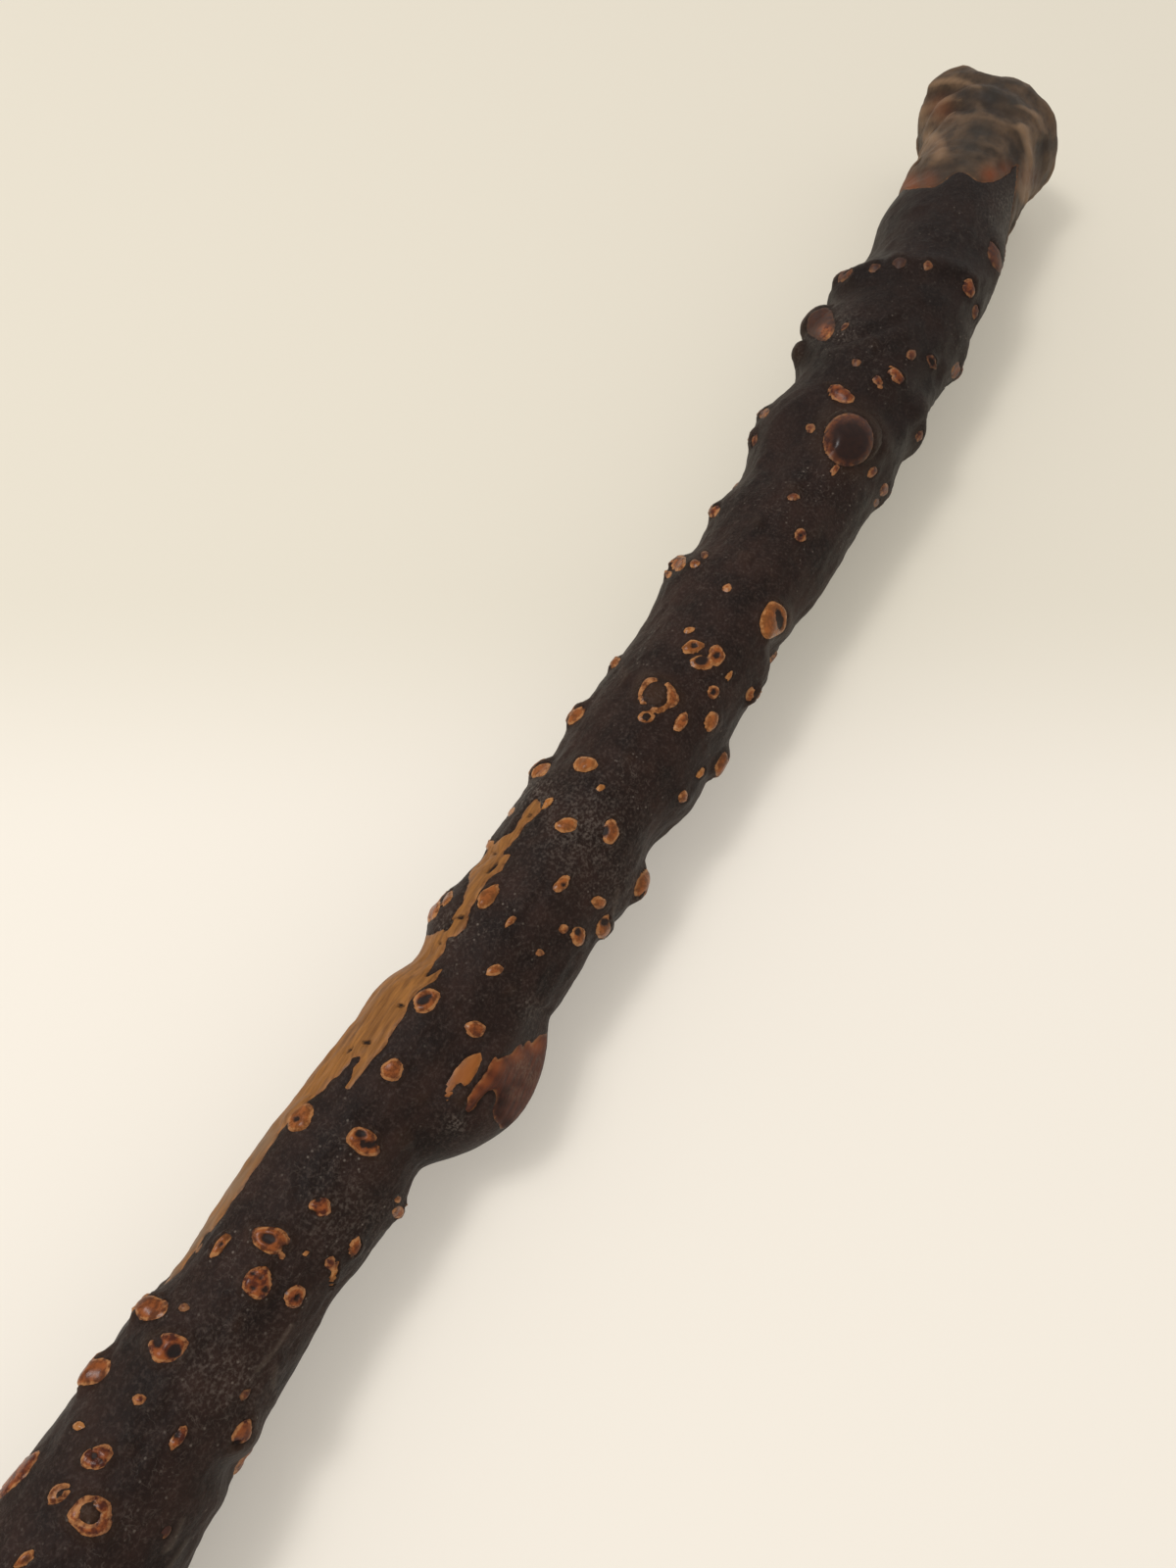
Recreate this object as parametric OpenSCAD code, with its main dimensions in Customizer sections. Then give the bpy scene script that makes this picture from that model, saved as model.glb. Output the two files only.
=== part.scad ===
// Blackthorn shillelagh: a knobbed stick grown in one stem, with its bark left on,
// its side shoots trimmed to short stubs and a brass ferrule pinned on its foot.
// It lies along X on the plane z = 0, with the knob toward +X.

/* [Stick] */
// Whole length, from the end of the knob to the ground face of the tip
stick_length = 900; // [780:10:1000]
// Diameter of the stem 176 mm below the end of the knob
stem_diameter = 22.4; // [20:0.2:26]
// Sideways wander of the stem, as a share of the measured one
bow_share = 1; // [0:0.1:1.5]
// Sag of the middle of the stem toward the table
sag = 0.4; // [0:0.2:2]
// Unevenness of the stem's cross section, as a share of its radius
ovality = 0.03; // [0:0.01:0.05]

/* [Knob] */
// Width of the knob across its broadest ring
knob_width = 31.8; // [28:0.2:36]
// Length of the bare knob, to the edge of the bark
knob_length = 45; // [41:1:50]
// Height of the folds and lobes on the knob, as a share of the measured one
knob_relief = 1; // [0:0.1:1.3]

/* [Thorn stubs] */
// Height of a stub above the stem
stub_height = 1.9; // [1:0.1:3]
// Height of the bark collar round a stub, above the stem
collar_height = 1.2; // [0.5:0.1:1.8]
// Width of the bark collar, on each side of its stub
collar_width = 1.6; // [1:0.1:2.5]
// Distance along the stem between stubs on its lower stretch
stub_pitch = 9; // [7:0.5:30]
// Turn from one stub to the next, two fifths of a circle as the buds grow
stub_turn = 144; // [120:1:150]

/* [Branch stub] */
// Length of the swelling that the cut side branch leaves
branch_length = 32; // [26:1:38]
// Width of the swelling
branch_width = 19; // [16:0.5:21]
// Height of the swelling above the stem
branch_height = 5.3; // [4:0.1:6.5]
// Depth that the cut takes off the swelling
cut_depth = 2; // [1:0.1:3]
// Tilt of the cut face toward the knob
cut_tilt = 20; // [0:1:30]
// Tilt of the cut face round the stem, to its upper side
cut_turn = 30; // [0:1:40]

/* [Bark] */
// Thickness of the bark
bark_thickness = 1.2; // [0.8:0.1:1.6]
// Gap between the bark and the wood
bark_gap = 0.1; // [0.05:0.05:0.2]

/* [Ferrule] */
// Outside diameter of the brass sleeve, the size that a rubber tip is bought by
ferrule_diameter = 19; // [17:0.5:20]
// Length of the brass sleeve
ferrule_length = 36; // [28:1:45]
// Wall of the brass sleeve
ferrule_wall = 0.9; // [0.7:0.1:1.2]
// Gap between the sleeve and what it holds
ferrule_gap = 0.05; // [0.05:0.05:0.15]
// Height of the bead rolled round the mouth of the sleeve
bead_height = 0.6; // [0.3:0.1:0.8]
// Thickness of the steel tip outside the sleeve
tip_thickness = 3; // [2:0.5:5]
// Length of the tip's plug inside the sleeve
plug_length = 5; // [3:0.5:8]
// Diameter of each pin
pin_diameter = 1.8; // [1.4:0.1:2.4]
// Length of each pin
pin_length = 6; // [4:0.5:7]

/* [Hidden] */
// Sides of the stem and distance between the rings of its bark
stem_sides = 24;
ring_pitch = 8;
// How far stubs and cutters reach past the face they start from
overlap = 1;
round_sides = 64;

// The table's sizes are those of a stem this thick and a knob this wide
measured_stem = 22.4;
measured_knob = 31.8;
stem_share = stem_diameter / measured_stem;
knob_share = knob_width / measured_knob;

// End of the upper stretch and of the stem, from the end of the knob
upper_end = 316;
stem_end = stick_length - tip_thickness - ferrule_length;
lower_stem = stem_end - upper_end;

// Stations of the stem: distance from the end of the knob, shift toward +Y, radius
stations = [
    [0, -0.1, 10.5 * knob_share],
    [2.5, -0.4, 14 * knob_share],
    [6.5, -0.9, 15.9 * knob_share],
    [11.5, -1.9, 14.8 * knob_share],
    [17, -2.9, 13.7 * knob_share],
    [23, -3.8, 12.9 * knob_share],
    [32, -4.5, 12.5 * stem_share],
    [40, -5.2, 12.5 * stem_share],
    [59, -7.3, 12.7 * stem_share],
    [78, -7.5, 13.4 * stem_share],
    [96, -7.4, 13.1 * stem_share],
    [116, -8.6, 11.8 * stem_share],
    [146, -8.3, 11.4 * stem_share],
    [176, -7.5, 11.2 * stem_share],
    [216, -6, 11 * stem_share],
    [236, -5.3, 10.5 * stem_share],
    [248, -3.8, 11 * stem_share],
    [260, -1.9, 9.7 * stem_share],
    [286, -0.5, 9.7 * stem_share],
    [298, 0.1, 10.9 * stem_share],
    [upper_end, 0, 12.3 * stem_share],
    [upper_end + 0.04 * lower_stem, 0.8, 11.6 * stem_share],
    [upper_end + 0.11 * lower_stem, 2.2, 10.8 * stem_share],
    [upper_end + 0.3 * lower_stem, 3, 10.6 * stem_share],
    [upper_end + 0.55 * lower_stem, 0, 10.4 * stem_share],
    [upper_end + 0.8 * lower_stem, -4, 10.2 * stem_share],
    [stem_end, -5, 10 * stem_share]
];

// Folds and lobes of the knob: distance, turn, reach along, reach around, height.
// The last three are the two feet that it lies on, and the groove between them.
knob_lobes = [
    [10, 266, 7, 45, 1.6],
    [5, 80, 6, 40, 0.3],
    [2, 338, 8, 55, -3],
    [10, 340, 5, 40, -1.2],
    [4, 55, 5, 25, 0.8],
    [3, 5, 6, 25, -1],
    [4, 300, 6, 25, 0.7],
    [11.5, 50, 1.8, 50, -1],
    [18, 45, 2, 55, -1.2],
    [8, 165, 8, 16, 1.1],
    [8, 195, 8, 16, 1.1],
    [8, 180, 8, 10, -1.9]
];

// Stubs on the upper side of the upper stretch: distance, turn from straight up toward +Y, width
upper_stubs = [
    [51, 286, 3.5],
    [68, 304, 3.5],
    [72, 72, 4],
    [79, 263, 4],
    [87, 76, 6.5],
    [99, 262, 4],
    [101, 327, 3.5],
    [112, 1, 5],
    [114, 76, 3.5],
    [120, 336, 9],
    [140, 73, 3],
    [159, 306, 5.5],
    [174, 345, 6.5],
    [184, 356, 6],
    [189, 72, 3.5],
    [200, 15, 3.5],
    [201, 70, 3.5],
    [208, 262, 4.5],
    [211, 0, 3],
    [218, 276, 4],
    [226, 16, 3.5],
    [243, 10, 3.5],
    [243, 330, 3],
    [254, 356, 3.5],
    [263, 340, 4],
    [273, 338, 3],
    [279, 355, 4.5],
    [283, 28, 4],
    [283, 315, 3],
    [284, 340, 4],
    [293, 42, 4],
    [295, 10, 4.5],
    [300, 290, 5],
    [302, 53, 4.5],
    [303, 333, 3.5],
    [308, 8, 3.5],
    [313, 350, 5]
];

// Stubs on the under side, in five rows round the stem that are taken two by two
back_start = 56;
back_pitch = 14.5;
back_turn = 104;
row_turn = 37;
small_stub = 3.2;
back_count = 18;
back_stubs = [
    for (i = [0 : back_count - 1])
        [back_start + back_pitch * i, back_turn + row_turn * ((2 * i) % 5), small_stub + i % 3]
];

// Stubs down the rest of the stem, to its bare foot, with an uneven turn and width
bare_foot = 45;
usual_stub = 4;
stub_spread = 1.3;
turn_spread = 20;
first_turn = 30;
turn_beat = 97;
width_beat = 61;
function uneven(i, step) = sin(step * i);
lower_count = floor((lower_stem - bare_foot) / stub_pitch) - 1;
lower_stubs = [
    for (i = [0 : lower_count])
        [
            upper_end + (i + 1) * stub_pitch,
            (first_turn + stub_turn * i + turn_spread * uneven(i, turn_beat)) % 360,
            usual_stub + stub_spread * uneven(i, width_beat)
        ]
];
stubs = concat(upper_stubs, back_stubs, lower_stubs);

// Place of the side branch, and how far its wood stands out of the cut bark
branch_place = 247;
branch_side = 262;
cut_step = 0.4;

// Worn strip where the wood shows: distance, turn, half of its width
worn_strip = [
    [208, 28, 0.8],
    [216, 33, 1.2],
    [224, 37, 1.6],
    [232, 38, 1.8],
    [240, 40, 2.2],
    [248, 41, 3.2],
    [256, 45, 3.4],
    [264, 54, 3],
    [272, 60, 2.6],
    [280, 63, 2],
    [288, 58, 1.2]
];

// Smooth curve through one column of the stations
last_station = len(stations) - 1;
function station_below(d) = max([for (i = [0 : last_station - 1]) if (stations[i][0] <= max(d, 0)) i]);
function station_slope(i, column) =
    let (a = stations[max(i - 1, 0)])
    let (b = stations[min(i + 1, last_station)])
    i == last_station ? 0 : (b[column] - a[column]) / (b[0] - a[0]);
function station_value(d, column) =
    let (i = station_below(d))
    let (a = stations[i])
    let (b = stations[i + 1])
    let (h = b[0] - a[0])
    let (t = min(1, max(0, (d - a[0]) / h)))
    (2 * t ^ 3 - 3 * t ^ 2 + 1) * a[column]
    + (t ^ 3 - 2 * t ^ 2 + t) * h * station_slope(i, column)
    + (3 * t ^ 2 - 2 * t ^ 3) * b[column]
    + (t ^ 3 - t ^ 2) * h * station_slope(i + 1, column);

// Centre and radius of the stem at a distance from the end of the knob
function stem_radius(d) = station_value(d, 2);
function stem_height(d) =
    let (share = min(1, d / stick_length))
    knob_width / 2 + (ferrule_diameter - knob_width) / 2 * share - sag * sin(180 * share);
function stem_centre(d) = [-d, bow_share * station_value(d, 1), stem_height(d)];

// Unevenness round the stem: an oval and a weaker trefoil that wind along it, in degrees to the
// millimetre, and die out toward the ferrule
oval_twist = 0.9;
trefoil_twist = 1.7;
trefoil_share = 0.6;
even_foot = 60;
function unevenness(d, a) =
    let (oval = cos(2 * a + oval_twist * d))
    let (trefoil = trefoil_share * cos(3 * a - trefoil_twist * d))
    ovality * (oval + trefoil) * min(1, (stem_end - d) / even_foot);

// Relief of the knob at a place
function turn_between(a, b) = abs((a - b + 540) % 360 - 180);
function relief(d, a) =
    knob_relief * sum_of([
        for (k = knob_lobes)
            k[4] * exp(-((d - k[0]) / k[2]) ^ 2 - (turn_between(a, k[1]) / k[3]) ^ 2)
    ]);
function sum_of(values) = [for (v = values) 1] * values;

// Depth of the wood below the stem's surface: none on the knob, the bark's below its edge
neck_groove = 4;
function wood_depth(d) =
    (bark_thickness + bark_gap) * min(1, max(0, (d - knob_length + neck_groove) / neck_groove));

// One ring of points round the stem, sunk by a depth
function ring(d, depth) =
    let (c = stem_centre(d))
    let (r = stem_radius(d))
    [
        for (j = [0 : stem_sides - 1])
            let (a = 360 * j / stem_sides)
            let (p = r * (1 + unevenness(d, a)) + relief(d, a) - depth)
            c + [0, p * sin(a), p * cos(a)]
    ];

// Rings of the wood stand close on the knob, then on both sides of the bark's edge, then at the
// stations and halfway between them
knob_pitch = 2;
last_before_edge = 3;
first_past_edge = 4.5;
knob_end = knob_length - last_before_edge;
neck_end = knob_length + first_past_edge;
knob_ring_count = floor(knob_end / knob_pitch);
wood_rings = [
    for (i = [0 : knob_ring_count])
        knob_end * i / knob_ring_count,
    neck_end,
    for (i = [0 : last_station - 1])
        for (half = [0, 0.5])
            let (d = stations[i][0] + half * (stations[i + 1][0] - stations[i][0]))
                if (d > neck_end) d
];
function wood_points(gap) = [
    for (d = concat(wood_rings, [stem_end]))
        each ring(d, wood_depth(d) - gap)
];

// Rings of the bark, the first one scalloped where the bark gives way to the knob
bark_ring_count = floor((stem_end - knob_length) / ring_pitch);
broad_scallop = 1.6;
narrow_scallop = 0.9;
scallop_turn = 20;
function bark_distance(i, a) =
    let (scallop = broad_scallop * cos(3 * a + scallop_turn) + narrow_scallop * cos(5 * a))
    knob_length + (stem_end - knob_length) * i / bark_ring_count + scallop * max(0, 1 - i / 2);
bark_points = [
    for (i = [0 : bark_ring_count])
        for (j = [0 : stem_sides - 1])
            let (a = 360 * j / stem_sides)
            let (d = bark_distance(i, a))
            let (p = stem_radius(d) * (1 + unevenness(d, a)) + relief(d, a))
            stem_centre(d) + [0, p * sin(a), p * cos(a)]
];

// Skin of a closed tube of rings with n points each, with a fan at each end
module closed_tube(points, n) {
    rings = len(points) / n;
    head = rings * n;
    foot = head + 1;
    head_centre = sum_of([for (j = [0 : n - 1]) points[j]]) / n;
    foot_centre = sum_of([for (j = [0 : n - 1]) points[(rings - 1) * n + j]]) / n;
    faces = [
        for (j = [0 : n - 1])
            let (k = (j + 1) % n)
            each [
                [head, j, k],
                [foot, (rings - 1) * n + k, (rings - 1) * n + j],
                for (i = [0 : rings - 2]) each [
                    [i * n + j, (i + 1) * n + j, i * n + k],
                    [i * n + k, (i + 1) * n + j, (i + 1) * n + k]
                ]
            ]
    ];
    polyhedron(concat(points, [head_centre, foot_centre]), faces);
}

// Lowest and outermost places, which put the stick on the table at the origin
skin = concat(wood_points(0), bark_points);
stub_feet = [
    for (s = stubs)
        let (reach = stem_radius(s[0]) + stub_height)
        stem_centre(s[0])[2] + reach * cos(s[1]) - s[2] / 2 * abs(sin(s[1]))
];
bead_foot = stem_height(stem_end) - ferrule_diameter / 2 - bead_height;
lowest = min(concat([for (p = skin) p[2]], stub_feet, [bead_foot]));
sides = [for (p = skin) p[1]];
table_shift = [stick_length / 2, -(min(sides) + max(sides)) / 2, -lowest];

// Places with +Z pointing out of the stem
module on_stem(d, turn) {
    translate(stem_centre(d))
        rotate([-turn, 0, 0])
            children();
}

// Places with +Z pointing along the stick toward the ground, at a distance from the knob
module on_foot(d) {
    translate([-d, stem_centre(stem_end)[1], stem_height(stem_end)])
        rotate([0, -90, 0])
            children();
}

// Thorn stub of the wood, a cone that stands on the stem below the bark
stub_taper = 0.8;
module thorn_stub(s) {
    r = stem_radius(s[0]);
    root = bark_thickness + bark_gap + overlap;
    on_stem(s[0], s[1])
        translate([0, 0, r - root])
            cylinder(h = root + stub_height, d1 = s[2], d2 = stub_taper * s[2], $fn = round_sides);
}

// Bark collar that rises round a stub
module stub_collar(s) {
    r = stem_radius(s[0]);
    on_stem(s[0], s[1])
        translate([0, 0, r - overlap])
            cylinder(
                h = overlap + collar_height,
                d1 = s[2] + 2 * collar_width + 2 * overlap,
                d2 = s[2] + collar_width,
                $fn = round_sides
            );
}

// Opening in the bark for a stub
module stub_opening(s) {
    on_stem(s[0], s[1])
        cylinder(h = stem_radius(s[0]) + stub_height + overlap, d = s[2] + 2 * bark_gap, $fn = round_sides);
}

// Swelling of the side branch: an arc turned about a line along the stem, sunk by a depth
branch_rise = branch_width / 2;
branch_arc = (branch_rise ^ 2 + (branch_length / 2) ^ 2) / (2 * branch_rise);
module on_branch() {
    on_stem(branch_place, branch_side)
        translate([0, 0, stem_radius(branch_place) + branch_height - branch_rise])
            children();
}
module branch(depth) {
    on_branch()
        rotate([0, 90, 0])
            rotate_extrude($fn = round_sides)
                intersection() {
                    translate([branch_rise - branch_arc - depth, 0])
                        circle(branch_arc, $fn = round_sides);
                    translate([0, -branch_length / 2])
                        square([branch_rise, branch_length]);
                }
}

// What the cut takes off the swelling, from a depth outward
module branch_cut(depth) {
    on_branch()
        rotate([-cut_turn, cut_tilt, 0])
            translate([-branch_length, -branch_length, branch_rise - depth])
                cube([2 * branch_length, 2 * branch_length, branch_rise]);
}

// Slot in the bark along the worn strip, four points to a ring
function strip_ring(w) =
    let (c = stem_centre(w[0]))
    let (r = stem_radius(w[0]))
    let (depth = 2 * (bark_thickness + bark_gap))
    let (spread = w[2] / r * 180 / PI)
    [
        for (corner = [[-1, -1], [-1, 1], [1, 1], [1, -1]])
            let (a = w[1] + corner[0] * spread)
            c + (r + corner[1] * depth) * [0, sin(a), cos(a)]
    ];
module strip_opening() {
    closed_tube([for (w = worn_strip) each strip_ring(w)], 4);
}

// Hole or body for the two pins, which cross the sleeve from the sides
pin_share = 0.6;
pin_place = pin_share * ferrule_length;
module pin_bodies(diameter, length, start) {
    on_foot(stem_end + ferrule_length - pin_place)
        for (side = [-90, 90])
            rotate([0, 0, 90])
                rotate([0, side, 0])
                    translate([0, 0, start])
                        cylinder(h = length, d = diameter, $fn = round_sides);
}

sleeve_bore = ferrule_diameter - 2 * ferrule_wall;
tenon_length = ferrule_length - plug_length - overlap;

// The pins end where their rims meet the round of the sleeve
pin_face = sqrt((ferrule_diameter / 2) ^ 2 - (pin_diameter / 2) ^ 2);
pin_foot = pin_face - pin_length;

module stem_wood() {
    color("#9a6638")
        translate(table_shift)
            difference() {
                union() {
                    closed_tube(wood_points(0), stem_sides);
                    for (s = stubs)
                        thorn_stub(s);
                    difference() {
                        branch(bark_thickness + bark_gap);
                        branch_cut(cut_depth);
                    }
                    on_foot(stem_end - overlap)
                        cylinder(
                            h = tenon_length + overlap,
                            d = sleeve_bore - 2 * ferrule_gap,
                            $fn = round_sides
                        );
                }
                pin_bodies(pin_diameter + 2 * ferrule_gap, pin_length, pin_foot - ferrule_gap);
            }
}

module bark() {
    color("#2f2827")
        translate(table_shift)
            difference() {
                union() {
                    closed_tube(bark_points, stem_sides);
                    for (s = stubs)
                        stub_collar(s);
                    difference() {
                        branch(0);
                        branch_cut(cut_depth + cut_step);
                    }
                }
                closed_tube(wood_points(bark_gap), stem_sides);
                for (s = stubs)
                    stub_opening(s);
                branch(bark_thickness);
                strip_opening();
            }
}

module ferrule_sleeve() {
    bead_centre = ferrule_length - bead_height;
    color("#b5904c")
        translate(table_shift)
            difference() {
                on_foot(stem_end + ferrule_length)
                    rotate([180, 0, 0])
                        rotate_extrude($fn = round_sides)
                            difference() {
                                union() {
                                    translate([sleeve_bore / 2, 0])
                                        square([ferrule_wall, ferrule_length]);
                                    translate([ferrule_diameter / 2, bead_centre])
                                        circle(bead_height, $fn = round_sides);
                                }
                                square([sleeve_bore / 2, ferrule_length]);
                            }
                pin_bodies(pin_diameter + 2 * ferrule_gap, pin_length + overlap, pin_foot);
            }
}

module ferrule_tip() {
    edge = 0.6;
    color("#8e9093")
        translate(table_shift)
            on_foot(stem_end + ferrule_length - plug_length)
                rotate_extrude($fn = round_sides)
                    polygon([
                        [0, 0],
                        [sleeve_bore / 2 - ferrule_gap, 0],
                        [sleeve_bore / 2 - ferrule_gap, plug_length],
                        [ferrule_diameter / 2, plug_length],
                        [ferrule_diameter / 2, plug_length + tip_thickness - edge],
                        [ferrule_diameter / 2 - edge, plug_length + tip_thickness],
                        [0, plug_length + tip_thickness]
                    ]);
}

module ferrule_pins() {
    color("#c3a05c")
        translate(table_shift)
            pin_bodies(pin_diameter, pin_length, pin_foot);
}

stem_wood();
bark();
ferrule_sleeve();
ferrule_tip();
ferrule_pins();
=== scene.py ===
# %% [markdown]
# # A blackthorn shillelagh
# The object is a knobbed walking stick that grew as one stem. Its bark is left on, its thorns and
# side shoots are trimmed to short stubs, and its root end is rounded off to a bare knob.
# The CAD model gives the sizes and the frame, and this lesson gives the stick its skin.

# %% Load the CAD frame
import math
import bpy
import numpy as np
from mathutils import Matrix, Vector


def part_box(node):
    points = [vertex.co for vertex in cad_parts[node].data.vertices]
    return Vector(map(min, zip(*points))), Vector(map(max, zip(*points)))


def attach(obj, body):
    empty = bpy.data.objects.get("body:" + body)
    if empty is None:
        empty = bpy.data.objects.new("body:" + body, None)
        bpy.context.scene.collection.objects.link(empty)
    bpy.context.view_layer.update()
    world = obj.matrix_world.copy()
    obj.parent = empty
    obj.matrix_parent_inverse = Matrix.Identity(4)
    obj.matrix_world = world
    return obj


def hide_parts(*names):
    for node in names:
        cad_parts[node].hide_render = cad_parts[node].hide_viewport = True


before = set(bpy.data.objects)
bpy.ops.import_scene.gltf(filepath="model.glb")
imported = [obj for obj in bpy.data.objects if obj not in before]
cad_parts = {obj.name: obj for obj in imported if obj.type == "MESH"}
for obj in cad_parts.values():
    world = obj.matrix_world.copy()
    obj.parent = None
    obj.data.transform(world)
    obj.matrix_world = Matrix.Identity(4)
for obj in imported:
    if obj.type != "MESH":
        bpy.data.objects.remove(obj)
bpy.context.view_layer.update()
MM = 0.001


# %% [markdown]
# ## The camera
# The camera comes first, because the stubs are placed by where they appear in the photograph.
# A phone held about 18 cm above the table looks steeply down along the stick, toward the knob.
# The lens follows from its focal length in pixels: a portrait picture's long side takes the sensor.

# %% Camera
photo_width, photo_height = 1200, 1600
focal_px = 1202
sensor_mm = 36
pitch_down, heading = math.radians(62), math.radians(29.02)
camera_place = np.array([173.6, -43.475, 185.55])

look = np.array([
    math.cos(heading) * math.cos(pitch_down),
    math.sin(heading) * math.cos(pitch_down),
    -math.sin(pitch_down),
])
right = np.array([math.sin(heading), -math.cos(heading), 0])
down = np.cross(look, right)

bpy.ops.object.camera_add(
    location=camera_place * MM,
    rotation=(math.pi / 2 - pitch_down, 0, heading - math.pi / 2),
)
camera = bpy.context.object
camera.data.lens = sensor_mm * focal_px / photo_height
camera.data.sensor_width = sensor_mm
camera.data.clip_start = 10 * MM
bpy.context.scene.camera = camera
print("Lens in mm:", round(camera.data.lens, 2))

# %% [markdown]
# ## The line of the stem
# Every stem wanders a little, so it is described by stations: the distance from the end of the
# knob, the shift to the side and the radius there. A curve object could carry it too, but rows of
# numbers are easier to fit to a photograph. A smooth curve runs through them.

# %% Stations of the stem
stick_length, stem_end, upper_end, knob_length = 900, 861, 316, 45
lower_stem = stem_end - upper_end
SIDE, RADIUS = 1, 2
stations = np.array([
    [0, -0.1, 10.5], [2.5, -0.4, 14], [6.5, -0.9, 15.9], [11.5, -1.9, 14.8], [17, -2.9, 13.7],
    [23, -3.8, 12.9], [32, -4.5, 12.5], [40, -5.2, 12.5], [59, -7.3, 12.7], [78, -7.5, 13.4],
    [96, -7.4, 13.1], [116, -8.6, 11.8], [146, -8.3, 11.4], [176, -7.5, 11.2], [216, -6, 11],
    [236, -5.3, 10.5], [248, -3.8, 11], [260, -1.9, 9.7], [286, -0.5, 9.7], [298, 0.1, 10.9],
    [upper_end, 0, 12.3],
    [upper_end + 0.04 * lower_stem, 0.8, 11.6], [upper_end + 0.11 * lower_stem, 2.2, 10.8],
    [upper_end + 0.3 * lower_stem, 3, 10.6], [upper_end + 0.55 * lower_stem, 0, 10.4],
    [upper_end + 0.8 * lower_stem, -4, 10.2], [stem_end, -5, 10],
])
station_places = stations[:, 0]


def station_curve(d, column):
    """One column of the stations as a smooth curve, at the distance d from the knob's end."""
    values = stations[:, column]
    slopes = np.zeros_like(values)
    slopes[1:-1] = (values[2:] - values[:-2]) / (station_places[2:] - station_places[:-2])
    slopes[0] = (values[1] - values[0]) / (station_places[1] - station_places[0])
    i = np.clip(np.searchsorted(station_places, d, side="right") - 1, 0, len(values) - 2)
    h = station_places[i + 1] - station_places[i]
    t = np.clip((d - station_places[i]) / h, 0, 1)
    return (
        (2 * t**3 - 3 * t**2 + 1) * values[i]
        + (t**3 - 2 * t**2 + t) * h * slopes[i]
        + (3 * t**2 - 2 * t**3) * values[i + 1]
        + (t**3 - t**2) * h * slopes[i + 1]
    )


print("Stations:", len(stations))

# %% [markdown]
# ## The stick on the table
# The heights fall from the knob, which is thick, to the ferrule, which is thin, as on a stick that
# lies down. The CAD model's ferrule tells where the foot is, and the whole line is moved to it.

# %% Middle line
knob_radius, ferrule_radius, sag = 15.9, 9.5, 0.4


def height_curve(d):
    share = np.minimum(1, d / stick_length)
    return knob_radius + (ferrule_radius - knob_radius) * share - sag * np.sin(np.pi * share)


tip_low, tip_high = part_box("ferrule_tip")
foot_y = (tip_low[1] + tip_high[1]) / 2 / MM
foot_z = (tip_low[2] + tip_high[2]) / 2 / MM
side_move = foot_y - float(station_curve(np.array(stem_end), SIDE))
lift = foot_z - float(height_curve(np.array(stem_end)))


def centre_y(d):
    return station_curve(d, SIDE) + side_move


def centre_z(d):
    return height_curve(np.minimum(d, stem_end)) + lift


def stem_points(d, turn, reach):
    """Points in mm at distances and turns on the stem, so far out from its middle line."""
    y = centre_y(d) + reach * np.sin(turn)
    z = centre_z(d) + reach * np.cos(turn)
    return np.stack([stick_length / 2 - d, y, z], -1)


print("Line moved in mm:", round(side_move, 3), round(lift, 3))

# %% [markdown]
# ## From a point in the photograph to a place on the stem
# A ray goes from the camera through a point of the picture. Where it first meets the stem gives
# the distance from the knob and the turn round the stem, from straight up toward +Y. A point just
# outside the stem's outline takes the place that the ray passes nearest to.

# %% Rays onto the stem
ray_steps = np.linspace(80, 520, 4400)
far_off = 99
landmarks = {"knob facet": (1003, 144), "dark knot": (866, 449), "low ring": (93, 1547)}


def on_stem(px, py):
    """Distance from the knob's end, turn, and pixels to a millimetre, at a point of the picture."""
    across, below = px - photo_width / 2, py - photo_height / 2
    ray = look + right * across / focal_px + down * below / focal_px
    ray = ray / np.linalg.norm(ray)
    points = camera_place + ray_steps[:, None] * ray
    d = stick_length / 2 - points[:, 0]
    off_y = points[:, 1] - centre_y(np.maximum(d, 0))
    off_z = points[:, 2] - centre_z(np.maximum(d, 0))
    gap = np.hypot(off_y, off_z) - station_curve(d, RADIUS)
    gap[d < 0] = far_off
    k = np.argmax(gap <= 0) if (gap <= 0).any() else np.argmin(gap)
    turn = math.degrees(math.atan2(off_y[k], off_z[k]))
    return float(d[k]), turn, focal_px / float((points[k] - camera_place) @ look)


for name, point in landmarks.items():
    print(name, [round(v, 1) for v in on_stem(*point)])

# %% [markdown]
# ## The grid of places
# Wood and bark are both made on one grid: rings across the stem and places round each ring. Rings
# and places stand close together where the photograph looks nearest, and wider on the under side
# and the lower stretch. The first turn and the last are the same place, and are merged later.

# %% Rings and turns
def dome(share):
    """Height of a half ball, from 1 in its middle to 0 at its edge."""
    return np.sqrt(np.clip(1 - share**2, 0, 1))


cap_rings, cap_depth = 9, 2.5
stretches = [(45, 0.55), (150, 0.7), (240, 0.55), (330, 0.45), (stem_end, 2.6)]
ring_places = list(cap_depth * (1 - np.cos(np.linspace(0, np.pi / 2, cap_rings))))
for stretch_end, step in stretches:
    ring_places += list(np.arange(ring_places[-1] + step, stretch_end, step))
ring_places = np.array(ring_places + [stem_end])
seen_from, seen_to = -108, 84
hidden_before, seen_places, hidden_after = 15, 87, 21
turns = np.concatenate([
    np.linspace(-180, seen_from, hidden_before, endpoint=False),
    np.linspace(seen_from, seen_to, seen_places, endpoint=False),
    np.linspace(seen_to, 180, hidden_after),
])
D, A = np.meshgrid(ring_places, turns, indexing="ij")
A_rad = np.radians(A)
R = station_curve(D, RADIUS)
end_round = dome(1 - np.minimum(D / cap_depth, 1))
print("Rings:", len(ring_places), "places round:", len(turns) - 1)

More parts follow.
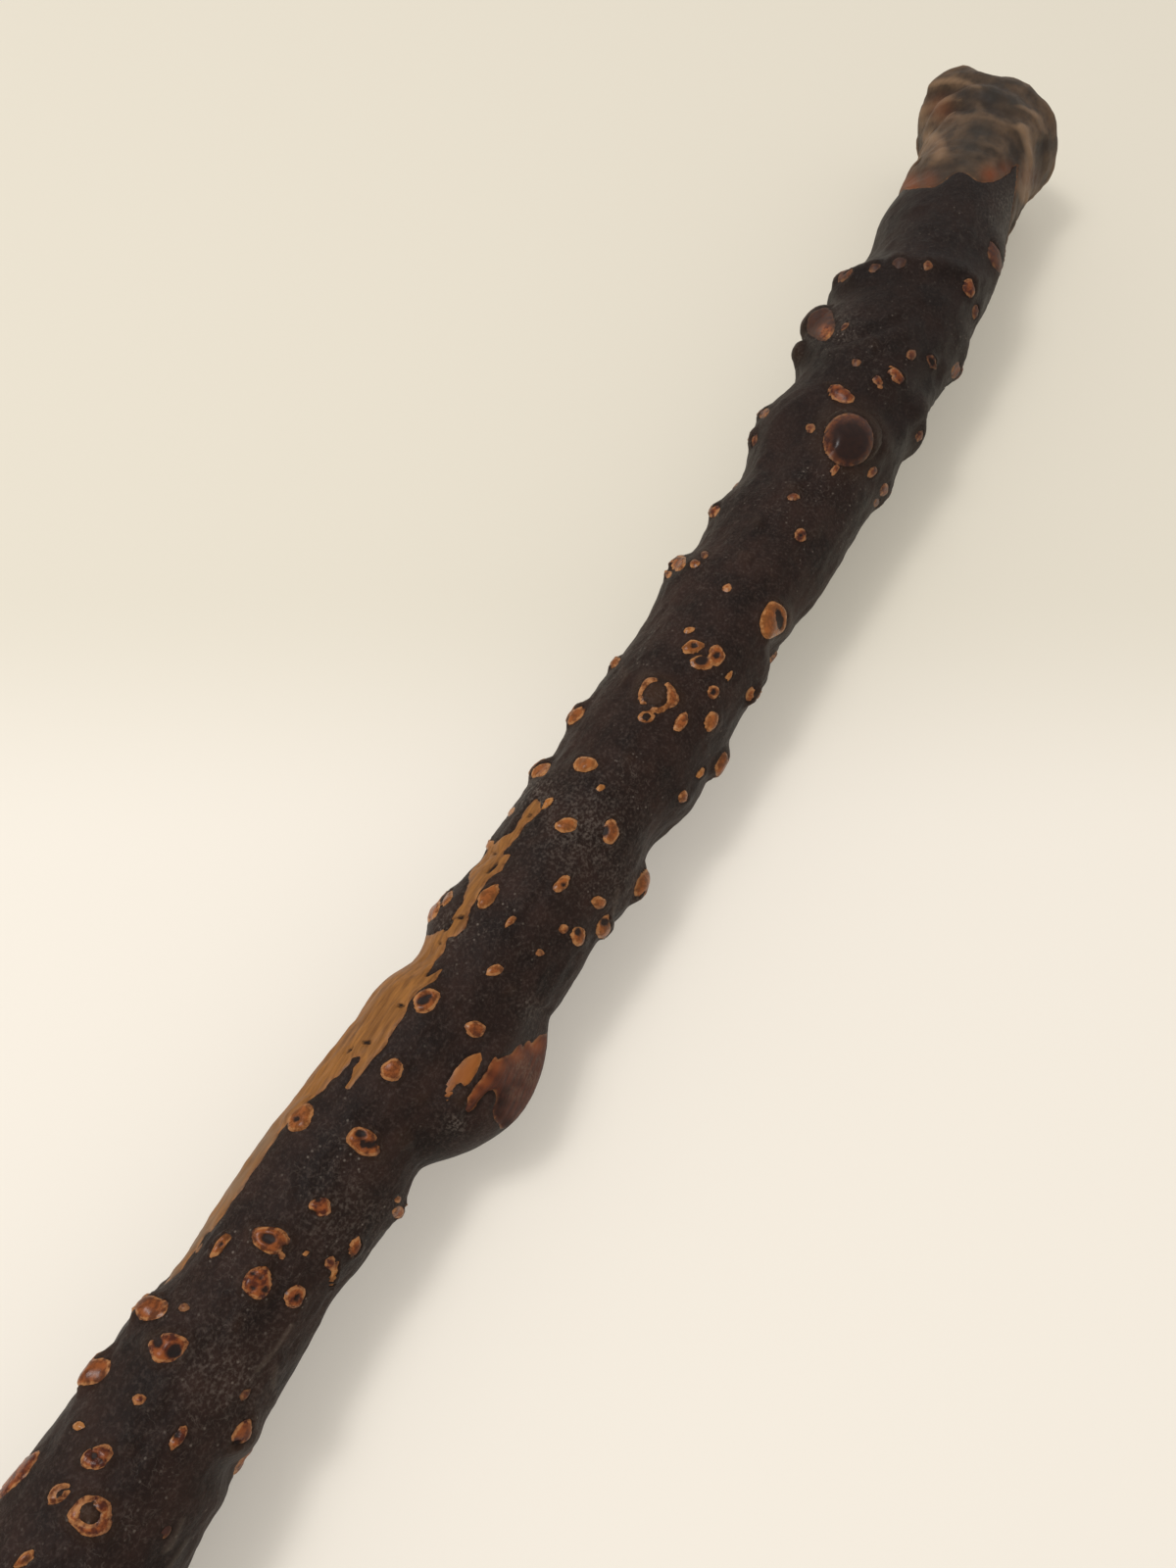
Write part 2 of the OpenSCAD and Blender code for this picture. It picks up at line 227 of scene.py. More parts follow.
# %% [markdown]
# ## Uneven growth
# A grown surface is never regular, but it must come out the same on every run. Smooth noise is
# made by hashing whole-number places with a sine and blending between them. It repeats round the
# stem, so there is no seam.

# %% Smooth noise on the stem
hash_steps, hash_spread = (127.1, 311.7, 74.7), 43758.5453
never_repeats = 1000


def hashed(i, j, seed):
    mixed = i * hash_steps[0] + j * hash_steps[1] + seed * hash_steps[2]
    return np.modf(np.abs(np.sin(mixed) * hash_spread))[0]


def smooth_step(t):
    t = np.clip(t, 0, 1)
    return t * t * (3 - 2 * t)


def cell_noise(x, y, cells_round, seed):
    """Noise from -1 to 1 between whole-number places, which repeats after so many in y."""
    i, j = np.floor(x), np.floor(y)
    fx, fy = smooth_step(x - i), smooth_step(y - j)
    j, k = j % cells_round, (j + 1) % cells_round
    low = hashed(i, j, seed) * (1 - fy) + hashed(i, k, seed) * fy
    high = hashed(i + 1, j, seed) * (1 - fy) + hashed(i + 1, k, seed) * fy
    return 2 * (low * (1 - fx) + high * fx) - 1


def growth_noise(along_mm, cells_round, seed):
    """Noise with cells this long and this many round the stem."""
    return cell_noise(D / along_mm, (A + 180) / 360 * cells_round, cells_round, seed)


def end_noise(cell_mm, seed):
    """Noise across the end of the knob, so that nothing runs to its middle like spokes."""
    across, up = end_round * R * np.sin(A_rad), end_round * R * np.cos(A_rad)
    return cell_noise(across / cell_mm, up / cell_mm, never_repeats, seed)


sample = growth_noise(14, 6, 1)
print("Noise from", round(sample.min(), 2), "to", round(sample.max(), 2))

# %% [markdown]
# ## The stem's section
# A stem isn't round: it is a little oval and a little three-sided, and this turns as it grows.
# Lumps and wrinkles of the bark lie over that. They fade out at the knob and at the foot, where
# the ferrule needs round wood.

# %% Uneven radius
ovality, third_share = 0.03, 0.6
oval_twist, third_twist = 0.9, 1.7
round_foot, knob_fade, foot_fade = 60, 10, 30
# Lumps and then wrinkles: height and length in mm, how many go round the stem, and the seed
growth = [
    (0.24, 14, 6, 1), (0.16, 6, 12, 2),
    (0.13, 7, 30, 11), (0.13, 3, 54, 12), (0.08, 1.5, 90, 13),
]
oval = np.cos(2 * A_rad + np.radians(oval_twist * D))
three_sided = np.cos(3 * A_rad - np.radians(third_twist * D))
uneven = ovality * (oval + third_share * three_sided)
surface = R * (1 + uneven * np.minimum(1, (stem_end - D) / round_foot))
past_knob = np.clip((D - knob_length) / knob_fade, 0, 1)
before_foot = np.clip((stem_end - D) / foot_fade, 0, 1)
bumps = sum(height * growth_noise(*cells) for height, *cells in growth)
surface = surface + bumps * past_knob * before_foot
print("Surface radius from", round(surface.min(), 2), "to", round(surface.max(), 2))

# %% [markdown]
# ## The root knob
# The knob was the root burr. Its lobes are left as they grew and polished by the hand. A sculpting
# brush could raise them, and here each is a soft bump or hollow: the distance, turn, reach along,
# reach around and height.

# %% Lobes of the knob
def turn_off(turn):
    """Turn from a place, from -180 to 180 degrees."""
    return (A - turn + 540) % 360 - 180


def soft_bump(d, turn, reach_along, reach_round):
    """A soft hill of height 1 round a place on the stem."""
    return np.exp(-((D - d) / reach_along) ** 2 - (turn_off(turn) / reach_round) ** 2)


knob_lobes = [
    (10, 266, 7, 45, 1.6), (5, 80, 6, 40, 0.3), (2, 338, 8, 55, -3), (10, 340, 5, 40, -1.2),
    (4, 55, 5, 25, 0.8), (3, 5, 6, 25, -1), (4, 300, 6, 25, 0.7), (11.5, 50, 1.8, 50, -1),
    (18, 45, 2, 55, -1.2), (8, 165, 8, 16, 1.1), (8, 195, 8, 16, 1.1), (8, 180, 8, 10, -1.9),
    (3, 64, 5, 22, 0.9), (4, 20, 6, 32, -1.7), (7, 303, 4, 14, 0.5),
]
for *place, height in knob_lobes:
    surface = surface + height * soft_bump(*place)
print("Lobes of the knob:", len(knob_lobes))

# %% [markdown]
# ## The edge of the bark
# The bark was peeled off the knob, and its edge wavers round the neck. Its points are read over the
# top, from left to right in the photograph. The field called bare is the distance in millimetres
# inside the edge of the bare wood, below zero under the bark.

# %% Edge of the bark at the knob
bark_edge = [
    (917, 196), (930, 196), (940, 194), (955, 191), (965, 184), (972, 178), (979, 175), (988, 179),
    (996, 184), (1003, 187), (1012, 187), (1020, 184), (1030, 177), (1038, 166),
]
edge_run_out, edge_waver, edge_blend = 40, 0.7, 0.4
edge_turn, edge_place = np.array(sorted(on_stem(px, py)[1::-1] for px, py in bark_edge)).T
edge_turns = [-180, edge_turn[0] - edge_run_out, *edge_turn, edge_turn[-1] + edge_run_out, 180]
edge_places = [knob_length, knob_length, *edge_place, knob_length, knob_length]
knob_edge = np.interp(A, edge_turns, edge_places) + edge_waver * growth_noise(stick_length, 30, 3)
bare = knob_edge - D
on_knob = np.clip((knob_edge - D) / edge_blend + 1, 0, 1)
print("Bare knob from", round(knob_edge.min(), 1), "to", round(knob_edge.max(), 1), "mm long")

# %% [markdown]
# ## Knuckles and waists
# Where several shoots grew together the stem is thicker, and between them it is drawn in. These
# show in the stem's outline, so they are read there: the point, the reach along the stem and the
# height in millimetres. Each fades out round the stem.

# %% Swellings read in the outline
knuckles = [
    (900, 228, 9, 2.0), (855, 293, 4, 2.7), (820, 345, 6, 1.2), (806, 388, 5, -1.4),
    (783, 435, 7, 2.8), (750, 490, 7, -0.7), (738, 516, 4, 0.8), (708, 553, 5, -0.8),
    (686, 585, 5, 1.2), (655, 632, 9, -0.4), (563, 768, 4, -0.8), (526, 828, 4, 0.1),
    (450, 930, 4, 1.4), (385, 1015, 12, 0.1), (395, 1000, 5, 0.5), (350, 1052, 6, -0.6),
    (270, 1170, 16, 1.0), (190, 1288, 7, -0.5), (95, 1390, 5, -1.2), (30, 1480, 8, -1.1),
    (934, 454, 3.5, 2.5), (908, 495, 7, 1.0), (885, 535, 12, 0.6), (838, 602, 8, 0.8),
    (795, 664, 4, -2.0), (779, 692, 4, 0.7), (733, 780, 5, 0.4), (705, 818, 5, 0.9),
    (668, 868, 5, -1.6), (640, 925, 4, 0.6), (605, 960, 5, -0.6), (592, 985, 5, 0.3),
    (535, 1128, 5, -2.4), (470, 1183, 6, 0.8), (432, 1192, 5, -1.4), (406, 1230, 5, 0.9),
    (368, 1290, 5, 0.3), (342, 1325, 4, -0.7), (312, 1370, 6, 0.2), (240, 1506, 3, -1.2),
    (212, 1568, 9, -0.6), (1010, 285, 9, 1.0), (976, 372, 4, 1.1), (898, 506, 3.5, 0.8),
    (232, 1530, 2, 0.7), (425, 978, 3.5, -1.0), (497, 872, 2.5, -0.9), (815, 634, 4, -0.6),
    (922, 182, 4, 1.0),
]
knuckle_round = 38
for px, py, reach_along, height in knuckles:
    d, turn, _ = on_stem(px, py)
    surface = surface + height * soft_bump(d, turn, reach_along, knuckle_round)
print("Knuckles:", len(knuckles))

# %% [markdown]
# ## The cut side branch
# One larger branch was sawn off and rounded over. Its swelling is an arc turned about a line along
# the stem, as in the CAD model, and a tilted plane slices its wood bare. A Boolean could join and
# cut them, but blended radii leave a soft seam and keep the one grid.

# %% Swelling of the branch
def blended(a, b, share, fill):
    """From a to b by share, with a seam that is filled, or hollow where fill is below zero."""
    return a * (1 - share) + b * share + fill * share * (1 - share)


branch_place, branch_side = 247, 262
branch_length, branch_width, branch_height = 32, 19, 5.0
swell_blend = 1.6
branch_rise = branch_width / 2
branch_arc = (branch_rise**2 + (branch_length / 2) ** 2) / (2 * branch_rise)
branch_axis = float(station_curve(np.array(branch_place), RADIUS)) + branch_height - branch_rise
x = branch_place - D
round_off = np.radians(turn_off(branch_side))
section = np.sqrt(np.clip(branch_arc**2 - x**2, 0, None)) - (branch_arc - branch_rise)
section = np.clip(section, 0, None)
inside = section**2 - (branch_axis * np.sin(round_off)) ** 2
swelling = branch_axis * np.cos(round_off) + np.sqrt(np.clip(inside, 0, None))
swelling = np.where((inside > 0) & (np.cos(round_off) > 0), swelling, 0)
on_swelling = np.clip(0.5 + (swelling - surface) / (2 * swell_blend), 0, 1)
swollen = blended(surface, swelling, on_swelling, swell_blend)
print("Swelling raised by", round((swollen - surface).max(), 2), "mm")

# %% Cut of the branch
cut_depth, cut_tilt, cut_turn = 2.0, math.radians(20), math.radians(30)
cut_blend, steepest, longest_reach = 1.2, 0.2, 30
cut_normal = (
    math.cos(cut_turn) * math.sin(cut_tilt),
    math.sin(cut_turn),
    math.cos(cut_turn) * math.cos(cut_tilt),
)
cut_offset = branch_rise - cut_depth + branch_axis * cut_normal[2]
outward = cut_normal[2] * np.cos(round_off) + cut_normal[1] * np.sin(round_off)
cut_reach = (cut_offset - x * cut_normal[0]) / np.maximum(outward, steepest)
cut_reach = np.where(outward > steepest, cut_reach, far_off)
on_cut = np.clip(0.5 + (swollen - cut_reach) / (2 * cut_blend), 0, 1)
on_cut = on_cut * np.clip(on_swelling * 2, 0, 1)
surface = blended(swollen, cut_reach.clip(0, longest_reach), on_cut, -cut_blend)
print("Cut face, places:", int((on_cut > 0.9).sum()))

# %% [markdown]
# ## The picture of every place
# What the photograph shows on the stem's face is easiest to draw where it was seen. So each place
# of the grid is looked up in the picture: its pixel, the pixels to a millimetre there, and how
# squarely it faces the camera. Places that face away keep out of what is drawn this way.

# %% Places in the picture
nearest_depth = 60
facing_limit = 0.05
tiny = 1e-9


def look_up(reach):
    points = stem_points(D, A_rad, reach)
    away = points - camera_place
    depth = away @ look
    normal = np.cross(np.gradient(points, axis=1), np.gradient(points, axis=0))
    normal = normal / np.maximum(np.linalg.norm(normal, axis=-1, keepdims=True), tiny)
    facing = -(normal * away).sum(-1) / np.linalg.norm(away, axis=-1)
    depth = np.maximum(depth, nearest_depth)
    return {
        "px": photo_width / 2 + focal_px * (away @ right) / depth,
        "py": photo_height / 2 + focal_px * (away @ down) / depth,
        "scale": focal_px / depth,
        "seen": (facing > facing_limit) & (depth > nearest_depth),
        "facing": facing,
    }


picture = look_up(surface)
print("Share of the places that face the camera:", round(float(picture["seen"].mean()), 3))

# %% [markdown]
# ## Drawing on the picture
# Three small tools draw on the stem as a pencil would on the photograph: an ellipse for a stub or a
# pit, a line for a fold or a crease, and a closed outline for a patch of worn wood.

# %% Ellipses, lines and outlines
far_px = 999


def on_ellipse(px, py, length, width, tilt):
    """Every place in half lengths and half widths of an ellipse, and its half size in mm."""
    t = math.radians(tilt)
    x, y = picture["px"] - px, picture["py"] - py
    u = (x * math.cos(t) - y * math.sin(t)) / (length / 2)
    v = (x * math.sin(t) + y * math.cos(t)) / (width / 2)
    return np.where(picture["seen"], u, far_off), v, (length + width) / 4 / picture["scale"]


def line_distance(points):
    """Distance in mm from a line drawn in the picture."""
    x, y = picture["px"], picture["py"]
    distance = np.full_like(x, far_px)
    for (x0, y0), (x1, y1) in zip(points, points[1:]):
        ex, ey = x1 - x0, y1 - y0
        t = np.clip(((x - x0) * ex + (y - y0) * ey) / max(ex * ex + ey * ey, tiny), 0, 1)
        distance = np.minimum(distance, np.hypot(x - x0 - t * ex, y - y0 - t * ey))
    return np.where(picture["seen"], distance / picture["scale"], far_px)


def inside_outline(points):
    """Distance in mm inside a closed outline of the picture, below zero outside it."""
    x, y = picture["px"], picture["py"]
    within = np.zeros_like(x, dtype=bool)
    for (x0, y0), (x1, y1) in zip(points, points[1:] + points[:1]):
        slope = (x1 - x0) / (y1 - y0) if y1 != y0 else 0
        within ^= ((y0 > y) != (y1 > y)) & (x < x0 + (y - y0) * slope)
    distance = line_distance(points + points[:1])
    return np.where(within & picture["seen"], distance, -distance)


for name, point in landmarks.items():
    print(name, "is", round(float(line_distance([point, point]).min()), 2), "mm from a place")

# %% [markdown]
# ## Folds of the knob
# The burr's folds catch the light on their crests and lie in shade in their grooves. Each is a
# line drawn over the photograph with its width and height in millimetres. The sides that the
# photograph doesn't show get folds from noise, which on the knob's end runs straight across.
# The same lines also make a field of painted light: it later paints the crests lighter, as a
# painted highlight, and the grooves darker, as painted shade.

# %% Folds that show
knob_folds = [
    ([(950, 89), (962, 85), (978, 85), (990, 88), (1000, 92)], 1.2, 0.4),
    ([(938, 119), (948, 111), (960, 106), (972, 102), (980, 103)], 1.6, 0.3),
    ([(938, 130), (948, 124), (962, 121), (989, 119), (1008, 121),
      (1024, 126), (1042, 135)], 1.2, 0.18),
    ([(1042, 132), (1047, 145), (1048, 165), (1046, 185), (1043, 202)], 2.0, 0.4),
    ([(1030, 108), (1045, 112), (1060, 122), (1066, 136)], 1.2, 0.3),
    ([(944, 143), (954, 142), (962, 150), (958, 164)], 2.0, 0.3),
    ([(940, 103), (950, 97), (966, 94), (984, 96)], 1.2, -0.35),
    ([(968, 113), (976, 111), (986, 112), (992, 111)], 1.0, -0.5),
    ([(1000, 98), (1006, 103)], 1.4, -0.35),
    ([(1012, 113), (1030, 117), (1046, 122)], 1.3, -0.25),
    ([(1062, 148), (1062, 165), (1058, 184)], 1.5, -0.5),
    ([(1030, 140), (1036, 155), (1034, 170)], 1.5, -0.18),
    ([(938, 145), (937, 155), (936, 166)], 1.0, -0.4),
    ([(994, 96), (1010, 98), (1026, 102)], 3.0, -0.2),
    ([(930, 182), (945, 174), (962, 170), (975, 172)], 1.2, -0.25),
    ([(944, 180), (955, 181), (966, 176)], 1.6, -0.35),
    ([(1019, 174), (1028, 168), (1034, 160)], 1.6, -0.3),
]
crest_share, full_relief = 0.6, 0.4
# Painted light on the knob's folds: above zero a painted highlight on a crest, below zero painted
# shade in a groove.
relief = np.zeros_like(D)
fold_height = np.zeros_like(D)
for points, width, height in knob_folds:
    from_line = line_distance(points)
    fold_height = fold_height + height * np.exp(-((from_line / width) ** 2))
    line_width = width * crest_share if height > 0 else width
    strength = np.clip(height / full_relief, -1, 1)
    relief = relief + strength * np.exp(-((from_line / line_width) ** 2))
print("Folds from", round(fold_height.min(), 2), "to", round(fold_height.max(), 2), "mm")

# %% Folds from noise
end_blend, fold_sharpness, fold_rise = 1.5, 3.2, 0.45
away_from, away_rate = 0.1, 4
neck, neck_fade, fine_fade = 3, 6, 3
fold_relief, fine_relief = 0.8, 1.5
# Height, then length, count round and seed on the sides, then size and seed on the end
fold_cells = [(1, (6, 9, 21), (9, 25)), (0.35, (3, 18, 22), (4, 26))]
fine_cells = [(0.16, (2.2, 26, 23), (2.6, 27)), (0.1, (1.1, 48, 24), (1.3, 28))]
on_end = smooth_step((cap_depth - D) / end_blend)


def knob_noise(layers):
    """Noise round the knob that goes over to noise across its end."""
    sides = sum(height * growth_noise(*cells) for height, cells, _ in layers)
    end = sum(height * end_noise(*cells) for height, _, cells in layers)
    return sides + (end - sides) * on_end


unseen = smooth_step(0.5 - away_rate * (picture["facing"] - away_from))
unseen = unseen * np.clip((knob_edge - neck - D) / neck_fade, 0, 1)
folds = np.clip(1 - fold_sharpness * np.abs(knob_noise(fold_cells)), -1, 1)
folds = folds * np.maximum(unseen, on_end)
fine_folds = knob_noise(fine_cells) * np.clip((knob_edge - D) / fine_fade, 0, 1)
surface = surface + fold_height + fold_rise * folds + fine_folds
relief = np.clip(relief + fold_relief * folds + fine_relief * fine_folds, -1, 1)
print("Fine folds from", round(fine_folds.min(), 2), "to", round(fine_folds.max(), 2), "mm")

# %% [markdown]
# ## Creases and wrinkles of the bark
# Where shoots crowd, the bark lies in rings and creases, and here and there it is wrinkled and
# rubbed pale. They are drawn as lines too, each with its width and height in millimetres.

# %% Lines on the bark
bark_lines = [
    ([(872, 279), (892, 272), (918, 267), (947, 269), (975, 275), (1000, 288)], 1.8, 0.8),
    ([(864, 296), (892, 284), (918, 279), (947, 281), (975, 288)], 1.8, -0.5),
    ([(856, 350), (880, 342), (900, 334), (920, 325)], 1.0, -0.7),
    ([(850, 362), (876, 354), (900, 345), (925, 336)], 1.6, 0.5),
    ([(775, 470), (790, 440), (806, 415), (825, 403)], 1.8, 0.6),
    ([(790, 478), (804, 450), (820, 428), (836, 418)], 2.0, -0.5),
    ([(972, 380), (950, 405), (925, 430), (908, 462)], 1.8, 0.8),
    ([(955, 378), (935, 402), (910, 425)], 1.8, -0.5),
    ([(840, 420), (845, 450), (850, 478), (842, 500)], 1.6, 0.5),
    ([(893, 430), (898, 455), (888, 478)], 1.4, 0.5),
    ([(478, 1140), (486, 1134), (494, 1122), (503, 1114)], 0.8, -0.6),
    ([(456, 1130), (462, 1145), (475, 1160)], 1.4, 0.5),
]
pale_lines = [
    ([(297, 1351), (280, 1376), (261, 1398)], 0.25, 0.15),
    ([(280, 1393), (277, 1414)], 0.25, 0.15), ([(186, 1548), (172, 1580)], 0.25, 0.15),
    ([(190, 1570), (170, 1600)], 0.25, 0.15), ([(180, 1560), (167, 1582)], 0.25, 0.15),
    ([(629, 907), (624, 933)], 0.25, 0.1),
    ([(207, 1258), (196, 1275), (180, 1295), (165, 1311)], 0.4, 0.1),
]
pale = np.zeros_like(D)
for n, (points, width, height) in enumerate(bark_lines + pale_lines):
    bump = np.exp(-((line_distance(points) / width) ** 2))
    surface = surface + height * bump
    if n >= len(bark_lines):
        pale = np.maximum(pale, bump)
print("Lines:", len(bark_lines), "on the bark,", len(pale_lines), "pale")

# %% [markdown]
# ## Thorn stubs on the face
# Each line is a stub as it appears in the photograph: its point, its length and width in pixels,
# its tilt from level, and its tone, from dull (-1) over red brown (0) to tan (1). Modelling one
# stub and copying it would make them all alike, so each is drawn for itself.

# %% Stubs read in the photograph
face_stubs = [
    (93, 1547, 47, 39, 0, 0), (60, 1524, 33, 16, 48, 0.1), (99, 1487, 33, 23, 35, 0),
    (25, 1591, 30, 11, 40, 0.2), (80, 1455, 11, 9, 0, 0.8), (142, 1428, 14, 11, 0, 0),
    (182, 1467, 35, 11, 55, 0), (250, 1423, 18, 7, 52, -0.6), (247, 1462, 34, 17, 62, -0.15),
    (170, 1563, 16, 8, 60, -0.7), (188, 1334, 10, 9, 0, -0.5), (171, 1375, 39, 30, 0, 0),
    (263, 1309, 31, 31, 0, 0), (301, 1323, 26, 18, 65, 0), (276, 1265, 38, 27, 0, 0.1),
    (287, 1281, 9, 6, -40, 0.1), (225, 1270, 36, 10, 53, 0.3), (312, 1279, 6, 5, 0, 0.5),
    (337, 1289, 11, 13, 0, -0.2), (341, 1299, 33, 5, 75, 0.6), (362, 1272, 25, 10, 72, 0.1),
    (327, 1231, 21, 21, 0, 0), (371, 1165, 34, 27, -37, 0.1), (307, 1141, 32, 20, 45, 0.3),
    (400, 1092, 23, 22, 0, 0.1), (435, 1021, 31, 20, 40, 0.1), (485, 1050, 21, 16, 0, 0),
    (505, 990, 17, 11, 25, 0.1), (551, 972, 8, 8, 0, -0.2), (575, 948, 9, 10, 0, 0),
    (590, 955, 20, 14, 85, 0.1), (616, 946, 29, 13, 75, 0.1), (611, 921, 15, 12, 0, 0.1),
    (521, 940, 16, 7, 50, 0.1), (498, 915, 32, 16, 52, 0.2), (573, 902, 20, 12, 45, 0.1),
    (578, 842, 22, 15, 0, 0.1), (623, 849, 17, 24, 0, 0), (697, 813, 14, 8, 75, 0),
    (613, 804, 9, 6, 40, 0.5), (597, 780, 23, 16, 10, 0.2), (695, 737, 20, 12, 60, 0),
    (726, 736, 20, 13, 65, 0.2), (728, 706, 13, 12, 45, 0), (715, 789, 17, 5, 55, 0.6),
    (744, 690, 14, 4.5, 65, 0.6), (671, 709, 39, 34, 0, 0), (681, 720, 24, 6, 40, 0.2),
    (660, 731, 16, 13, 0, 0.1), (707, 660, 26, 13, 10, 0.3), (731, 669, 23, 15, 85, 0.1),
    (716, 676, 24, 14, 0, 0.2), (703, 643, 11, 6, 20, 0.4), (789, 633, 35, 28, 80, 0.4),
    (742, 600, 8.5, 8.5, 0, 0), (709, 575, 10, 8, 0, 0.1), (719, 566, 8, 7, 0, -0.6),
    (817, 546, 12, 13, 0, -0.25), (810, 507, 14, 7, 0, -0.25), (858, 402, 33, 16, -28, 0.05),
    (915, 383, 24, 10, -52, 0.1), (896, 389, 17, 8, -60, -0.1), (874, 370, 10, 7, -20, -0.3),
    (930, 362, 12, 9, 80, -0.3), (951, 369, 19, 8, -65, -0.4), (827, 437, 9, 10, 0, -0.2),
    (890, 482, 12, 8, 50, -0.1), (862, 333, 9, 5, 40, -0.2), (892, 273, 15, 7, 15, -0.6),
    (918, 268, 15, 10, 0, -0.8), (947, 271, 10, 9, 0, -0.25), (989, 294, 19, 11, -75, 0),
    (559, 819, 14, 7, 50, 0.8), (852, 479, 14, 7, 60, -0.1),
]
print("Stubs on the face:", len(face_stubs))

# %% [markdown]
# ## Pits and scars
# Dark pits show where the pith has rotted out of a stub or the worn strip. Scars are stubs that the
# bark has healed over. Some ring-shaped stubs have an island of bark in their middle. The knot is
# one large stub with a dark, glossy heart. All are written as the stubs are, without a tone.

# %% Pits, scars, islands and the knot
face_pits = [
    (101, 1545, 6, 6, 0), (96, 1533, 5, 5, 0), (96, 1486, 9, 10, 0), (103, 1492, 7, 7, 0),
    (28, 1591, 10, 6, 45), (181, 1464, 10, 7, 50), (242, 1473, 10, 8, 0), (161, 1369, 11, 13, 0),
    (178, 1379, 17, 14, 60), (258, 1300, 6, 5, 0), (266, 1303, 5.5, 6, 0), (258, 1314, 6, 6, 0),
    (271, 1316, 8, 7, 0), (303, 1324, 10, 6, 65), (274, 1264, 15, 11, 0), (291, 1273, 8, 8, 0),
    (225, 1270, 6, 4, 53), (325, 1224, 8, 6, 0), (320, 1238, 9, 6, -40), (368, 1157, 12, 8, 0),
    (370, 1167, 6, 10, 0), (376, 1168, 10, 8, 0), (383, 1167, 6, 8, 0), (303, 1142, 7, 6, 0),
    (432, 1021, 14, 9, 20), (438, 1017, 7, 7, 0), (551, 972, 4, 4, 0), (590, 951, 7, 9, 0),
    (617, 941, 9, 9, 0), (575, 903, 5, 5, 0), (617, 848, 9, 12, 0), (728, 706, 6.5, 6.5, 0),
    (675, 694, 10, 8, 0), (658, 722, 12, 8, 0), (708, 659, 8, 6, 0), (731, 669, 7, 8, 0),
    (716, 674, 14, 10, 0), (795, 632, 8, 22, 12), (817, 546, 5, 5, 0), (951, 369, 12, 4, -65),
    (505, 871, 4, 3, 0), (503, 886, 14, 4, 45), (470, 936, 8, 5, 0), (458, 944, 16, 5, 50),
    (450, 962, 5, 3, 0), (439, 993, 12, 4, 35), (409, 1026, 6, 5, 0), (374, 1064, 8, 5, 0),
    (357, 1072, 10, 3, 40), (541, 832, 6, 3, 40),
]
face_scars = [
    (274, 1427, 17, 8, 75), (247, 1465, 44, 22, 65), (335, 1302, 10, 10, 0), (411, 1160, 17, 19, 0),
    (641, 772, 9, 10, 0), (603, 763, 8, 5, 50), (831, 542, 8, 11, 0), (774, 535, 10, 9, 0),
    (889, 352, 12, 12, 0), (810, 501, 14, 14, 0), (470, 1117, 20, 26, 70), (815, 360, 22, 18, 30),
    (640, 690, 14, 10, 50), (760, 570, 12, 10, 40), (690, 860, 12, 10, 60), (520, 1010, 14, 10, 40),
    (430, 1120, 14, 11, 40), (240, 1350, 14, 10, 50), (130, 1480, 14, 10, 40),
]
bark_islands = [
    (669, 709, 28, 25, 0), (91, 1545, 22, 22, 0), (61, 1524, 12, 7, 55), (660, 731, 9, 8, 0),
]
knot, knot_heart = (866, 449, 52, 55), (867, 451, 47, 49)
print("Pits:", len(face_pits), "scars:", len(face_scars), "islands:", len(bark_islands))

# %% [markdown]
# ## Thorn stubs at the outline
# A stub at the outline is seen from its side, so its length comes from the photograph and its width
# from its kind. The first list stands proud of the outline, and the second lies flush with it.

# %% Stubs at the outline
edge_stubs = [
    (96, 1400, 46, 21, 35, 0.15), (154, 1335, 34, 24, 20, 0.15), (552, 786, 24, 12, 35, 0.1),
    (588, 730, 25, 11, 48, 0.1), (628, 676, 15, 7, 50, 0.1), (693, 575, 17, 12, 40, 0.1),
    (682, 586, 8, 6, 60, 0), (729, 522, 14, 8, 55, 0), (780, 422, 12, 7, 50, -0.2),
    (770, 449, 12, 6, 80, -0.2), (862, 281, 20, 9, 35, -0.4), (838, 331, 31, 30, 45, -0.75),
    (406, 1224, 7, 6, 0, 0), (406, 1237, 13, 10, 70, 0), (655, 902, 33, 12, 70, 0.1),
    (736, 780, 29, 10, 70, 0.1), (765, 709, 18, 8, 75, 0.1),
]
flush_stubs = [
    (1015, 262, 34, 12, -75, -0.45), (995, 318, 18, 6, 80, -0.3), (443, 930, 26, 8, 62, 0.1),
    (457, 917, 20, 6, 60, 0.2), (500, 862, 12, 6, 55, 0.2), (521, 828, 10, 6, 50, 0),
    (902, 500, 13, 8, 65, -0.1), (894, 513, 10, 5, 65, -0.1), (938, 445, 14, 6, 75, -0.1),
    (975, 378, 20, 8, 75, -0.2), (20, 1504, 68, 12, 50, 0),
]
proud_count = len(edge_stubs)
edge_stubs += flush_stubs
edge_width, least_width, probe = 0.6, 1.2, 2
placed_stubs = []
for px, py, length_px, _, _, tone in edge_stubs:
    d, turn, _ = on_stem(px, py)
    line = stem_points(np.array([d - probe, d + probe]), 0, 0) - camera_place
    ends = np.stack([line @ right, line @ down], 1) / (line @ look)[:, None] * focal_px
    length = length_px / (np.linalg.norm(ends[1] - ends[0]) / (2 * probe))
    placed_stubs.append((d, turn, length, max(edge_width * length, least_width), 0, tone, []))
print("Stubs at the outline:", len(placed_stubs))

# %% [markdown]
# ## Thorn stubs out of the photograph
# The under side and the lower stretch follow the CAD model's rule: buds grow two fifths of a circle
# apart, with smaller stubs between, and their pits and tones take turns.

# %% Stubs by rule
def wave(degrees):
    return math.sin(math.radians(degrees))


bud_turn, golden_turn = 144, 137.5
bud_step, bare_foot = 9, 45
bud_count = int((lower_stem - bare_foot) / bud_step)
